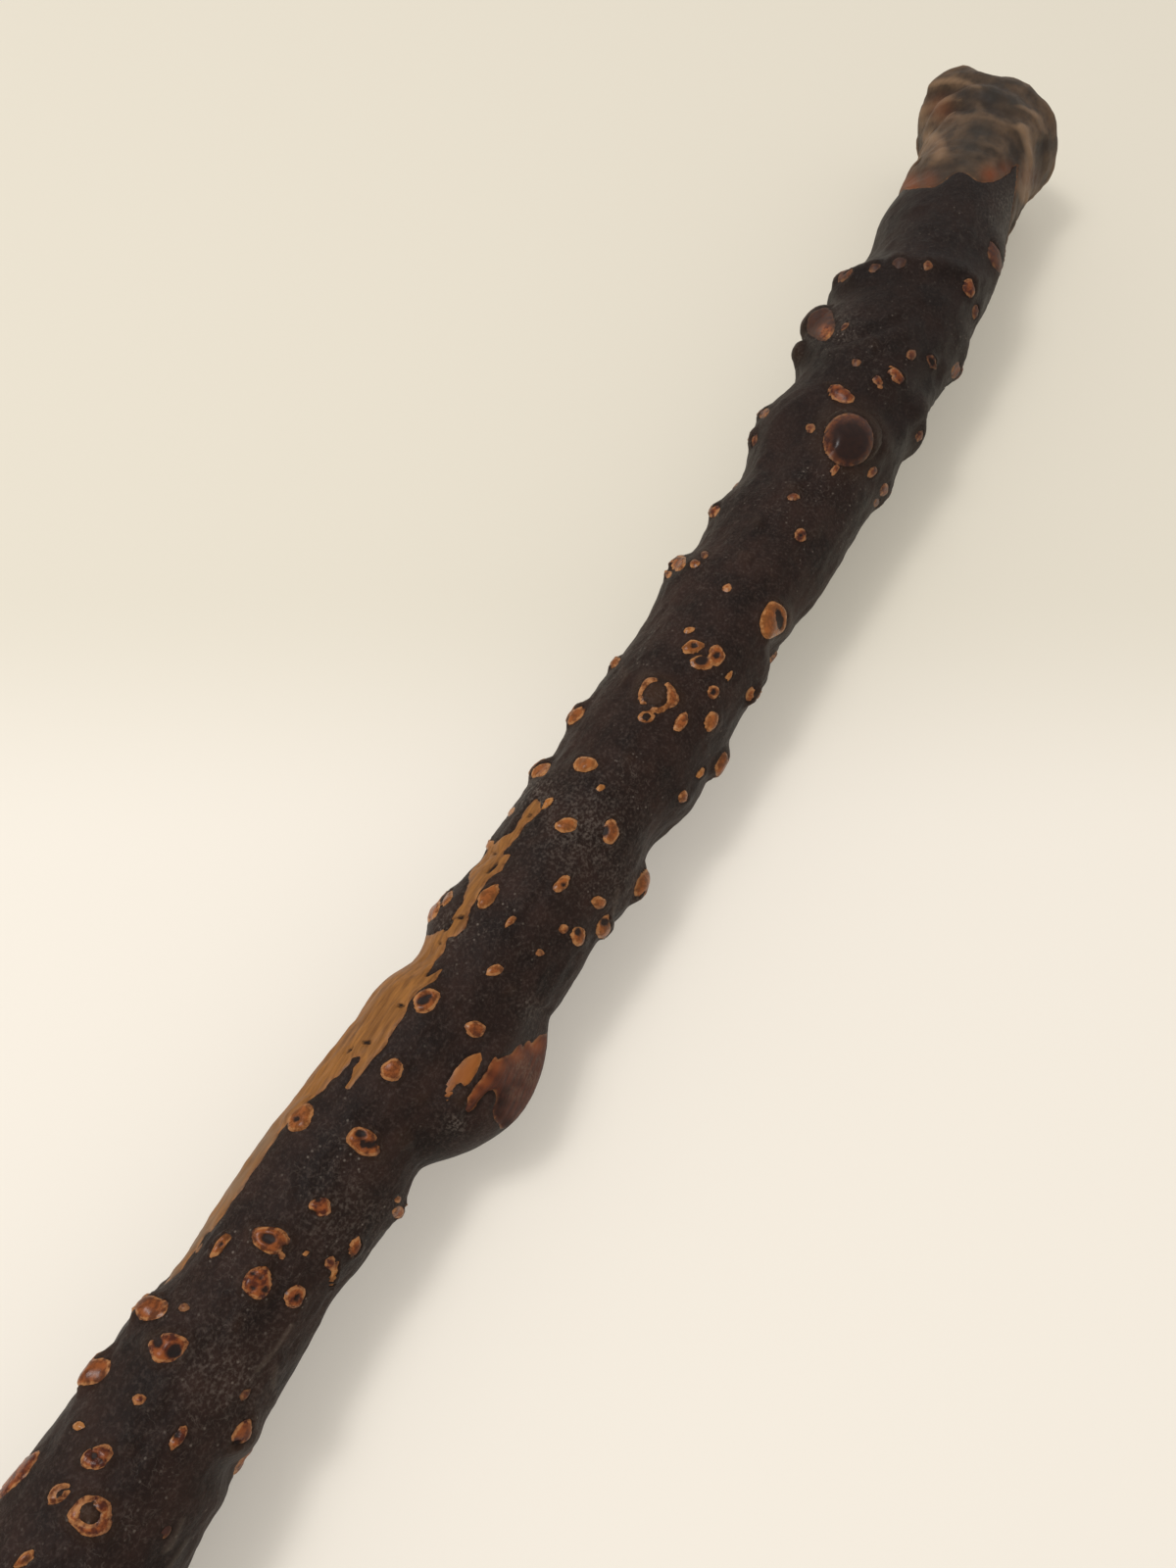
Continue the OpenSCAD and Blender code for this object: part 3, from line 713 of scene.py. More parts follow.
# Each rule: how many, the first place, the step along, and the turn and the width of stub i
rules = [
    (18, 56, 14.5, lambda i: 104 + 33 * (2 * i % 5), lambda i: 3.2 + i % 3),
    (26, 62, 9.7, lambda i: 118 + 53 * i % 118, lambda i: 1.4 + 0.35 * (i % 4)),
    (
        bud_count, upper_end + bud_step, bud_step,
        lambda i: (30 + bud_turn * i + 20 * wave(97 * i)) % 360,
        lambda i: 4 + 1.3 * wave(61 * i),
    ),
    (
        60, upper_end + 10, 8.1,
        lambda i: (75 + golden_turn * i) % 360, lambda i: 1.5 + 0.4 * (i % 4),
    ),
]
ruled = [
    (first + step * i, turn(i), width(i))
    for count, first, step, turn, width in rules
    for i in range(count)
]
# Pits of each kind of stub: place and size as shares of the stub
kind_pits = [
    [], [(0, 0, 0.3)], [(-0.35, -0.1, 0.26), (0.3, 0.12, 0.32)], [(0, 0, 0.55)], [],
    [(-0.34, 0.3, 0.2), (0.3, 0.34, 0.22), (-0.3, -0.34, 0.22), (0.36, -0.3, 0.2)], [(0.1, 0, 0.2)],
]
kind_tones = [0.1, 0.3, 0, 0.15, 0.6, 0.05, -0.4]
round_spread, long_spread, lean_most, lean_step = 1.25, 1.7, 25, 2.3
for i, (d, turn, width) in enumerate(ruled):
    spread = (round_spread if i % 3 else long_spread) ** 0.5
    kind = i % len(kind_pits)
    lean = lean_most * math.sin(lean_step * i)
    stub = (d, turn, width * spread, width / spread, lean, kind_tones[kind], kind_pits[kind])
    placed_stubs.append(stub)
print("Stubs placed on the stem:", len(placed_stubs))

# %% [markdown]
# ## The shape of a stub
# A stub's edge is a wavy ellipse, or a lens where the scar is long. Every place of the grid gets
# its share of each stub: 0 in the stub's middle, 1 at its edge, and more outside it.

# %% Places on a stub
pointed_from, blunt = 1.9, 0.01
wobbles = [(0.07, 2, 1), (0.05, 3, 2.1), (0.035, 5, 3.3)]


def stub_share(u, v, n, pointed=False):
    angle = np.arctan2(v, u)
    wobble = sum(size * np.cos(waves * angle + shift * n) for size, waves, shift in wobbles)
    share = np.sqrt(v**2 + blunt) + u**2 if pointed else np.hypot(u, v)
    return share * (1 + wobble)


def drawn_stub(n, stub, may_point=True):
    """Share and half size in mm of a stub that is drawn in the picture."""
    px, py, length, width, tilt = stub[:5]
    u, v, half = on_ellipse(px, py, length, width, tilt)
    return stub_share(u, v, n, may_point and length > pointed_from * width), half


def on_placed(d, turn, length, width, lean):
    """Every place in half lengths and half widths of a stub that is placed on the stem."""
    t = math.radians(lean)
    x, y = D - d, np.radians(turn_off(turn)) * R
    u = (x * math.cos(t) + y * math.sin(t)) / (length / 2)
    return u, (y * math.cos(t) - x * math.sin(t)) / (width / 2)


def placed_stub(n, stub):
    d, turn, length, width, lean = stub[:5]
    u, v = on_placed(d, turn, length, width, lean)
    share = stub_share(u, v, n, length > pointed_from * width)
    return u, v, share, (length + width) / 4


print("Places on the first stub:", int((drawn_stub(0, face_stubs[0])[0] < 1).sum()))

# %% [markdown]
# ## Hills round the stubs
# Round each stub the stem swells to a low hill, whose top the knife trimmed. The large dark knot
# and a few lumps at the outline are domes with a collar.

# %% Hills
flat_top, least_skirt = 0.5, 0.5
proud_steep, flush_steep, ruled_steep = 0.72, 0.15, 0.5
placed_most, placed_skirt = 1.7, 0.44


def hill_of(share, half, rise, skirt):
    return rise * smooth_step((skirt - (share - 1) * half) / (skirt + flat_top * half))


hills = np.zeros_like(D)
for stubs, may_point, steep, most, skirt in [
    (face_stubs, True, 0.24, 1.35, 0.22), (face_scars, False, 0.2, 0.9, 0.2),
]:
    for n, stub in enumerate(stubs):
        share, half = drawn_stub(n, stub, may_point)
        size_mm = (stub[2] + stub[3]) / 2 / on_stem(*stub[:2])[2]
        hill = hill_of(share, half, min(steep * size_mm, most), least_skirt + skirt * size_mm)
        hills = np.maximum(hills, hill)
steeps = [proud_steep] * proud_count + [flush_steep] * len(flush_stubs) + [ruled_steep] * len(ruled)
for n, (stub, steep) in enumerate(zip(placed_stubs, steeps)):
    u, v, share, half = placed_stub(n, stub)
    hill = hill_of(share, half, min(steep * half, placed_most), least_skirt + placed_skirt * half)
    hills = np.maximum(hills, hill)
print("Highest hill:", round(hills.max(), 2), "mm")

# %% Domes
edge_domes = [(838, 332, 38, 2.5), (817, 361, 22, 1.5), (862, 283, 26, 0.8)]
dome_collar, dome_reach = 0.3, 1.9
knot_rise, knot_collar, collar_from, collar_rate = 2.6, 0.9, 2.2, 1.2
for px, py, width_px, rise in edge_domes:
    d, turn, px_per_mm = on_stem(px, py)
    share = np.hypot(*on_placed(d, turn, width_px / px_per_mm, width_px / px_per_mm, 0))
    collar = dome_collar * rise * smooth_step(dome_reach - share)
    hills = np.maximum(hills, rise * dome(share) + collar)
u, v, half = on_ellipse(*knot, 0)
knot_share = np.hypot(u, v)
knot_hill = knot_rise * dome(knot_share)
knot_hill = knot_hill + knot_collar * smooth_step(collar_from - knot_share * collar_rate)
knot_hill = np.maximum(hills * (knot_share > 1), knot_hill)
hills = np.where(knot_share < dome_reach, knot_hill, hills)
surface = surface + hills
print("Highest dome:", round(hills.max(), 2), "mm")

# %% [markdown]
# ## Bare wood on the stubs
# On top of each hill the bark gives way to the wood. The depth inside a stub is kept in
# millimetres, and pit and heart are the same for the pits and the knot's heart. The hills have
# moved the surface a little, so the places are looked up in the picture again. Hands have dulled
# the stubs near the knob, and rubbed those farther down to a tan.

# %% Fields of the stubs
picture = look_up(surface)
deep_under, off_stub, stub_margin = -9.0, 9, 1
hand_end, hand_fade, rub_place, rub_reach = 160, 70, 205, 40
tone_shift, knot_tone = 0.3, -0.4
pit = np.full_like(D, deep_under)
stub_depth = np.full_like(D, deep_under)
tones = np.zeros_like(D)
handled = smooth_step((hand_end - D) / hand_fade)
rubbed = np.exp(-(((D - rub_place) / rub_reach) ** 2))


def lay_stub(share, half, tone):
    """Adds a stub to the fields of depth and tone."""
    depth = (1 - share) * half
    tone = tone - tone_shift * handled + tone_shift * rubbed
    on_it = (depth > stub_depth) & (depth > -stub_margin)
    tones[on_it] = tone[on_it]
    stub_depth[:] = np.maximum(stub_depth, depth)


for stubs in (face_stubs, edge_stubs):
    for n, stub in enumerate(stubs):
        lay_stub(*drawn_stub(n, stub), stub[5])
for n, stub in enumerate(placed_stubs):
    u, v, share, half = placed_stub(n, stub)
    if n < len(edge_stubs):
        share = np.where(picture["seen"], off_stub, share)
    lay_stub(share, half, stub[5])
    for pit_u, pit_v, pit_size in stub[6]:
        pit_share = np.hypot(u - pit_u, v - pit_v) / pit_size
        pit = np.maximum(pit, (1 - pit_share) * pit_size * half)
for n, spot in enumerate(face_pits):
    share, half = drawn_stub(n, spot, False)
    pit = np.maximum(pit, (1 - share) * half)
u, v, half = on_ellipse(*knot, 0)
lay_stub(np.hypot(u, v), half, knot_tone)
u, v, half = on_ellipse(*knot_heart, 0)
heart = (1 - np.hypot(u, v)) * half
for n, island in enumerate(bark_islands):
    share, half = drawn_stub(n, island, False)
    stub_depth = np.minimum(stub_depth, (share - 1) * half)
bare = np.maximum(bare, stub_depth)
print("Bare share:", round(float((bare > 0).mean()), 3))

# %% [markdown]
# ## The worn strip and the branch's face
# Along one side the bark is rubbed off in a long ragged strip with torn tongues. Its outline is
# drawn over the photograph, and past the stem's outline it runs on round the stem. The branch's cut
# face and a petal of bare wood beside it are drawn the same way.

# %% Outlines of worn wood
strip_right = [
    (552, 819), (552, 827), (544, 834), (535, 844), (528, 854), (522, 859), (520, 863), (512, 873),
    (521, 872), (513, 885), (503, 895), (499, 898), (496, 902), (490, 909), (487, 915), (482, 925),
    (478, 931), (478, 937), (475, 947), (464, 956), (457, 957), (452, 972), (445, 980), (437, 995),
    (453, 987), (443, 999), (428, 1011), (420, 1019), (417, 1025), (411, 1037), (404, 1047),
    (400, 1053), (395, 1060), (394, 1066), (390, 1072), (380, 1082), (372, 1094), (360, 1106),
    (355, 1113), (352, 1110), (358, 1100), (360, 1091), (367, 1082), (367, 1078), (359, 1080),
    (355, 1087), (346, 1097), (341, 1100), (333, 1111), (325, 1117), (320, 1120), (310, 1128),
    (300, 1135), (287, 1152), (271, 1176), (262, 1190), (254, 1200), (248, 1211), (235, 1227),
    (230, 1237), (224, 1244), (218, 1252), (210, 1262), (202, 1276), (189, 1291), (177, 1303),
    (165, 1313),
]
strip_outside = [(130, 1300), (165, 1240), (250, 1120), (390, 940)]
strip_left = [
    (438, 955), (453, 947), (458, 940), (467, 930), (473, 922), (475, 910), (478, 900), (480, 888),
    (487, 880), (492, 875), (500, 865), (513, 853), (522, 849), (529, 839), (535, 828), (546, 815),
]
cut_face = [
    (475, 1130), (477, 1120), (481, 1113), (487, 1105), (491, 1101), (494, 1096), (499, 1089),
    (504, 1081), (506, 1078), (508, 1081), (515, 1078), (522, 1075), (525, 1071), (528, 1067),
    (532, 1065), (533, 1070), (535, 1067), (538, 1063), (540, 1062), (542, 1066), (545, 1061),
    (549, 1057), (552, 1055), (566, 1055), (566, 1100), (552, 1116), (536, 1136), (522, 1152),
    (511, 1152), (504, 1142), (502, 1131), (505, 1119), (504, 1112), (498, 1113), (494, 1117),
    (489, 1123), (485, 1129), (481, 1134), (477, 1136),
]
petal = [
    (490, 1073), (481, 1077), (473, 1083), (464, 1091), (457, 1104), (454, 1116), (454, 1126),
    (461, 1118), (464, 1107), (470, 1105), (475, 1110), (482, 1103), (488, 1090), (492, 1080),
]
strip_head, strip_foot = (438, 955), (175, 1305)
print("Points of the outlines:", len(strip_right + strip_left + cut_face + petal))

# %% Fields of worn wood
past_outline, left_from = 84, 20
worn_blend, petal_ragged, cut_ragged = 0.6, 0.5, 0.8


def field_share(field):
    return np.clip(field / worn_blend + 0.5, 0, 1)


ragged = 0.2 * growth_noise(2.4, 70, 7) + 0.16 * growth_noise(1.2, 110, 8)
strip_field = inside_outline(strip_right + strip_outside + strip_left)
far_from, far_to = on_stem(*strip_head)[0], on_stem(*strip_foot)[0]
far_field = np.minimum(np.minimum(D - far_from, far_to - D), np.radians(past_outline - A) * R)
beyond = (A > left_from) & (picture["facing"] <= facing_limit)
far_field = np.where(beyond, far_field, deep_under)
worn = np.where(picture["seen"], strip_field, far_field) + ragged
worn = np.maximum(worn, inside_outline(petal) + petal_ragged * ragged)
cut_field = inside_outline(cut_face) + cut_ragged * ragged
bare = np.maximum(np.maximum(bare, worn), cut_field)
on_branch, on_worn = field_share(cut_field), field_share(worn)
print("Worn share:", round(float((worn > 0).mean()), 4))

# %% [markdown]
# ## Soft patches of colour
# Some colours belong to a place and not to a shape: dust in a hollow, a grey polished facet, a
# warm patch where the bark begins. Others are painted light: a painted highlight on a lit edge,
# a painted sheen by the outline. Each is a soft round patch: its point, radius in pixels and
# strength.

# %% Soft patches
def patches(spots):
    total = np.zeros_like(D)
    for px, py, radius, strength in spots:
        u, v, _ = on_ellipse(px, py, 2 * radius, 2 * radius, 0)
        total = np.maximum(total, strength * np.exp(-((np.hypot(u, v)) ** 2)))
    return total


petal_warmth = 0.7
# Dust on the bark; the patch at (545, 808) by the outline is a painted sheen as well.
dust_and_sheen = patches([
    (1032, 215, 25, 0.6), (545, 808, 22, 0.7), (590, 845, 45, 0.45), (463, 945, 15, 0.6),
    (540, 1030, 14, 0.5), (464, 1147, 9, 0.9), (640, 900, 40, 0.3), (350, 1240, 40, 0.3),
    (230, 1400, 45, 0.35), (860, 330, 22, 0.3),
])
knob_grey = patches([
    (1000, 138, 16, 0.8), (990, 150, 16, 0.8), (1012, 98, 15, 0.9), (1034, 106, 12, 0.9),
    (985, 165, 12, 0.6),
])
# Warm wood where the bark begins; the spot at (948, 185) is a painted highlight in warm colour.
knob_warmth_and_highlight = patches([
    (929, 189, 11, 1), (1010, 179, 9, 1), (948, 185, 9, 0.6), (1024, 173, 8, 0.5),
    (960, 111, 13, 0.45), (956, 149, 11, 0.15), (1050, 180, 10, 0.3),
])
knob_warmth_and_highlight = np.maximum(knob_warmth_and_highlight, petal_warmth * np.clip(inside_outline(petal) + 0.5, 0, 1))
branch_dark = patches([
    (509, 1124, 9, 1), (506, 1136, 9, 0.9), (515, 1113, 6, 0.8), (516, 1146, 7, 0.8),
    (527, 1104, 6, 0.4),
])
branch_bright = patches([
    (483, 1115, 6, 0.8), (493, 1103, 7, 0.8), (507, 1087, 8, 0.8), (526, 1076, 8, 0.8),
    (545, 1066, 8, 0.9),
])
branch_dust = patches([
    (531, 1089, 11, 0.8), (541, 1098, 9, 0.7), (526, 1116, 8, 0.6), (547, 1082, 6, 0.5),
])
# A pale worn edge along the strip's lower end, partly a painted sheen by the outline.
strip_wear_and_sheen = patches([
    (172, 1303, 22, 0.8), (205, 1262, 25, 0.8), (240, 1207, 30, 0.6), (268, 1165, 26, 0.6),
])
# Painted highlights: the lit spots of the ball stub at the outline and the lit lower left rim of
# the knot, painted as tan on the stubs' tone.
painted_highlight_spots = patches([(843, 340, 7, 1.5), (846, 325, 6, 0.2), (848, 456, 5, 0.9)])
tones = np.where(cut_field > 0, branch_bright - branch_dark, tones) + painted_highlight_spots
print("Dust share:", round(float((dust_and_sheen > 0.2).mean()), 4))

# %% [markdown]
# ## Wood and bark as two skins
# Where the wood is bare its skin stands just above the bark's, and everywhere else just below it,
# so their crossing draws a crisp, uneven edge. A Boolean of two such skins would be slow and could
# fail. A cut stub has a raised rim, a dished middle and sunken pits.

# %% The two skins
skin_step, crossing_width = 0.2, 0.3
bark_tuck, tuck_from = 0.6, 0.5
rim_rise, rim_place, rim_width = 0.12, 0.3, 0.3
top_place, top_width = 0.5, 0.8
pit_depth, pit_wall = 0.4, 0.5
heart_groove, heart_width, heart_margin = 0.1, 0.45, 1.5
crossing = np.tanh(bare / crossing_width)
rim = rim_rise * np.exp(-(((stub_depth - rim_place) / rim_width) ** 2))
rim = rim + rim_rise * smooth_step((stub_depth - top_place) / top_width)
rim = np.where((stub_depth > -stub_margin) & (heart < -heart_margin), rim, 0)
sunk = pit_depth * smooth_step(pit / pit_wall + 0.5) * (bare > 0)
groove = -heart_groove * np.exp(-((heart / heart_width) ** 2))
wood_reach = (surface + skin_step * crossing + rim - sunk + groove) * end_round
bark_reach = (surface - skin_step * crossing - bark_tuck * (bare > tuck_from)) * end_round
print("Skins to", round(wood_reach.max(), 2), "and", round(bark_reach.max(), 2), "mm")

# %% [markdown]
# ## Building a skin
# Hand tools can't grow a stem, so the faces come from a grid primitive and each vertex goes to its
# place in the fields. Extra rings close the ends, the seam is merged, and the normals are turned
# out. The map for baking lays the long skin out in four strips, the upper ones with more room.

# %% Map for baking
map_ends = np.array([0, 165, 330, 600, stick_length])
map_strips = len(map_ends) - 1
map_margin = 0.01


def bake_spots(corner_places, corner_turns):
    """Where each corner of a face lies on the map."""
    face_start = corner_places.reshape(-1, 4).min(1)
    strip = np.searchsorted(map_ends, face_start, side="right") - 1
    strip = np.clip(strip, 0, map_strips - 1).repeat(4)
    across = (corner_turns + 180) / 360
    along = (corner_places - map_ends[strip]) / (map_ends[strip + 1] - map_ends[strip])
    u = (strip + map_margin + (1 - 2 * map_margin) * across) / map_strips
    return np.stack([u, map_margin + (1 - 3 * map_margin) * along], 1)


print("Strips of the map:", map_strips)

# %% A tube from the grid
merge_mm = 0.001


def deselect():
    bpy.ops.object.select_all(action="DESELECT")


def grown_skin(name, places, reach, fields):
    """A closed skin with one ring of vertices to a place and one attribute to a field."""
    deselect()
    rows, columns = reach.shape
    bpy.ops.mesh.primitive_grid_add(x_subdivisions=columns - 1, y_subdivisions=rows - 1, size=2)
    piece = bpy.context.object
    mesh = piece.data
    piece.name = mesh.name = name
    flat = np.empty(len(mesh.vertices) * 3)
    mesh.vertices.foreach_get("co", flat)
    grid_x, grid_y, _ = flat.reshape(-1, 3).T
    column = np.rint((grid_x + 1) / 2 * (columns - 1)).astype(int)
    row = np.rint((grid_y + 1) / 2 * (rows - 1)).astype(int)
    points = stem_points(places[row], np.radians(turns[column]), reach[row, column])
    mesh.vertices.foreach_set("co", (points * MM).ravel())
    for field, values in fields.items():
        values = values[row, column].astype(np.float32)
        mesh.attributes.new(field, "FLOAT", "POINT").data.foreach_set("value", values)
    corner = np.empty(len(mesh.loops), dtype=np.int32)
    mesh.loops.foreach_get("vertex_index", corner)
    spots = bake_spots(places[row[corner]], turns[column[corner]]).astype(np.float32)
    mesh.uv_layers.new(name="OFBake").data.foreach_set("uv", spots.ravel())
    mesh.update()
    bpy.ops.object.mode_set(mode="EDIT")
    bpy.ops.mesh.select_all(action="SELECT")
    bpy.ops.mesh.remove_doubles(threshold=merge_mm * MM)
    bpy.ops.mesh.normals_make_consistent(inside=False)
    bpy.ops.object.mode_set(mode="OBJECT")
    bpy.ops.object.shade_smooth()
    print(name, "vertices", len(mesh.vertices), "faces", len(mesh.polygons))
    return piece


def with_end(places, reach, fields, end_places, end_reach):
    """Adds rings that close the foot end, with the last ring's fields."""
    extra = np.repeat(np.asarray(end_reach, float)[:, None], reach.shape[1], 1)
    longer = {k: np.vstack([v] + [v[-1:]] * len(end_places)) for k, v in fields.items()}
    return np.concatenate([places, end_places]), np.vstack([reach, extra]), longer


print("Corners of the grid:", D.size)

# %% [markdown]
# ## The wood's skin
# The grown wood runs from the knob to the foot, where a round tenon goes into the ferrule. Its
# fields go along as attributes, for the finish to read.

# %% Wood skin
tenon_radius, tenon_length, thin_step = 8.5, 28, 0.01
tenon_end = stem_end + tenon_length
tenon_places = [stem_end + thin_step, tenon_end, tenon_end + thin_step]
wood_fields = {
    "bare": bare, "pit": pit, "heart": heart, "tone": tones, "relief": relief, "warmth_and_highlight": knob_warmth_and_highlight,
    "worn": on_worn, "branch": on_branch, "knob": on_knob,
    "grey": np.maximum.reduce([knob_grey, branch_dust, strip_wear_and_sheen]),
}
wood = grown_skin(
    "stem_wood_skin",
    *with_end(ring_places, wood_reach, wood_fields, tenon_places, [tenon_radius, tenon_radius, 0]),
)

# %% [markdown]
# ## The bark's skin
# The bark begins under the wood of the knob's neck, where nobody sees its closed end, and ends flat
# against the ferrule.

# %% Bark skin
bark_from, full_hill, edge_reach = 22, 1.2, 0.8
bark_rows = slice(np.flatnonzero(ring_places > bark_from)[0], None)
bark_fields = {
    "rise": np.clip(hills / full_hill, 0, 1), "dust_and_sheen": dust_and_sheen, "pale": pale,
    # The edge field darkens bark next to bare wood, as painted shade round the stubs.
    "edge": np.clip(1 + bare / edge_reach, 0, 1), "handled": handled,
}
bark_fields = {k: np.vstack([v[bark_rows][:1], v[bark_rows]]) for k, v in bark_fields.items()}
bark_places = np.concatenate([ring_places[bark_rows][:1], ring_places[bark_rows]])
bark_reach = np.vstack([np.zeros((1, len(turns))), bark_reach[bark_rows]])
bark = grown_skin(
    "bark_skin",
    *with_end(bark_places, bark_reach, bark_fields, [stem_end + thin_step], [0]),
)

# %% [markdown]
# ## Colours and nodes
# Colours are written as they look on a screen, in hex, and made linear for the renderer by one
# function. One more adds a node, sets it and links it, and a table adds a row of such nodes.

# %% Helpers for finishes
NOISE = ("Vector", "Scale", "Detail", "Roughness", "Distortion")
RANGE = ("Value", "From Min", "From Max", "To Max", "To Min")


def linear(hex_colour):
    channels = [int(hex_colour[i : i + 2], 16) / 255 for i in (1, 3, 5)]
    light = [c / 12.92 if c <= 0.04045 else ((c + 0.055) / 1.055) ** 2.4 for c in channels]
    return (*light, 1.0)


def add(tree, kind, inputs=(), output=None, **settings):
    """Adds a node with its settings and links, and gives one output, or the first in use."""
    node = tree.nodes.new(kind)
    for name, value in settings.items():
        setattr(node, name, value)
    for key, value in dict(inputs).items():
        if isinstance(value, bpy.types.NodeSocket):
            tree.links.new(value, node.inputs[key])
        else:
            node.inputs[key].default_value = value
    return node.outputs[output] if output else next(s for s in node.outputs if s.enabled)


def add_rows(tree, kind, sockets, rows):
    """Adds a node for each row of a table: its name, and what goes into its sockets in turn."""
    return {name: add(tree, kind, zip(sockets, values)) for name, *values in rows}


def new_finish(name, fields=()):
    """A material, its tree and shader, the Object coordinates, and the fields of a skin."""
    material = bpy.data.materials.new(name)
    material.use_nodes = True
    tree = material.node_tree
    coords = add(tree, "ShaderNodeTexCoord", output="Object")
    field = {k: add(tree, "ShaderNodeAttribute", output="Fac", attribute_name=k) for k in fields}
    return material, tree, tree.nodes["Principled BSDF"], coords, field


def connect(tree, shader, colour, roughness, normal):
    for name, socket in [("Base Color", colour), ("Roughness", roughness), ("Normal", normal)]:
        tree.links.new(socket, shader.inputs[name])


def size(mm):
    """Scale of a pattern on Object coordinates whose cells are this many millimetres wide."""
    return 1 / (mm * MM)


print("Varnished bark in linear light:", [round(c, 3) for c in linear("#2a1f1f")[:3]])

# %% [markdown]
# ## Blackthorn bark
# Blackthorn bark is near black with a purple cast, thin and close, and the varnish on it is worn to
# a satin. Grey dust sits in its pores, with lint in patches, and the hills round the stubs are
# rubbed browner. By the outline, part of that grey is a painted sheen. An image could be wrapped
# round the stem, but noise has no seam and no grain of its own.

# %% Bark finish: patterns
# Varnished bark: to the eye a dark skin with a broken satin sheen and grey specks.
bark_finish, tree, shader, coords, field = new_finish("blackthorn_bark_varnished", bark_fields)
noise = add_rows(tree, "ShaderNodeTexNoise", NOISE, [
    ("cloud", coords, size(7), 6, 0.65), ("zone", coords, size(15), 2),
    ("grit", coords, size(0.5), 3), ("pores", coords, size(1.3), 6, 0.7),
    ("threads", coords, size(2), 3, 0.5, 0.6),
])
off_thread = add(tree, "ShaderNodeMath", {0: noise["threads"], 1: 0.5}, operation="SUBTRACT")
off_thread = add(tree, "ShaderNodeMath", {0: off_thread}, operation="ABSOLUTE")
# Specks are a quarter of a millimetre wide, one to a cell of a millimetre, and not in every cell.
cells = add(tree, "ShaderNodeTexVoronoi", {"Vector": coords, "Scale": size(1.1)})
chance = add(tree, "ShaderNodeSeparateColor", {"Color": cells.node.outputs["Color"]})
# Each share: the pattern, where it begins and where it is full, and how strong it may be.
share = add_rows(tree, "ShaderNodeMapRange", RANGE, [
    ("shade", noise["cloud"], 0.36, 0.66), ("gloss", noise["cloud"], 0.3, 0.7, 0.56, 0.4),
    ("rub", field["rise"], 0, 1, 0.5), ("edge", field["edge"], 0.2, 1, 0.6),
    ("mottle", noise["grit"], 0.5, 0.72, 0.24), ("film", noise["grit"], 0.45, 0.75, 0.55),
    ("hand", field["handled"], 0, 1, 0.5), ("pale", field["pale"], 0, 1, 0.25),
    ("speck", cells, 0.2, 0.1), ("chance", chance, 0.4, 0.95),
    ("lint", off_thread, 0.012, 0.002, 0.3), ("zone", noise["zone"], 0.45, 0.7, 0.55, 0.12),
])
print("Bark patterns:", len(share))

# %% Bark finish: layers
marks = share["speck"]
for operation, other in [("MULTIPLY", "chance"), ("MAXIMUM", "lint"), ("MULTIPLY", "zone")]:
    marks = add(tree, "ShaderNodeMath", {0: marks, 1: share[other]}, operation=operation)
# A film of dust where the dust patches lie, partly a painted sheen by the outline.
film = add(tree, "ShaderNodeMath", {0: share["film"], 1: field["dust_and_sheen"]}, operation="MULTIPLY")
dirt_and_sheen = add(tree, "ShaderNodeMath", {0: marks, 1: film}, operation="ADD", use_clamp=True)
colour = linear("#1a100c")
for factor, layer in [
    # The edge layer is painted shade: the bark darkens toward each edge of bare wood.
    (share["shade"], "#2f1f19"), (share["rub"], "#3d2716"), (share["edge"], "#1a0f08"),
    (share["mottle"], "#5b4c45"), (share["hand"], "#140c09"), (dirt_and_sheen, "#8f8377"),
    (share["pale"], "#75675a"),
]:
    mixed = {"Factor": factor, "A": colour, "B": linear(layer)}
    colour = add(tree, "ShaderNodeMix", mixed, data_type="RGBA")
pores = {"Height": noise["pores"], "Strength": 0.8, "Distance": 0.35 * MM}
connect(tree, shader, colour, share["gloss"], add(tree, "ShaderNodeBump", pores))
shader.inputs["Specular IOR Level"].default_value = 0.11
bark.data.materials.append(bark_finish)
print("Made", bark_finish.name, "with", len(tree.nodes), "nodes")

# %% [markdown]
# ## Blackthorn wood
# The wood is red brown under the varnish at the stubs, tan where it was rubbed, darker red on the
# branch's cut and grey brown on the handled knob. Pits and the heart of the knot are almost black.
# The fields of the skin say which of these a place is, and noise gives each its own grain. One
# finish for all of them keeps their borders soft.

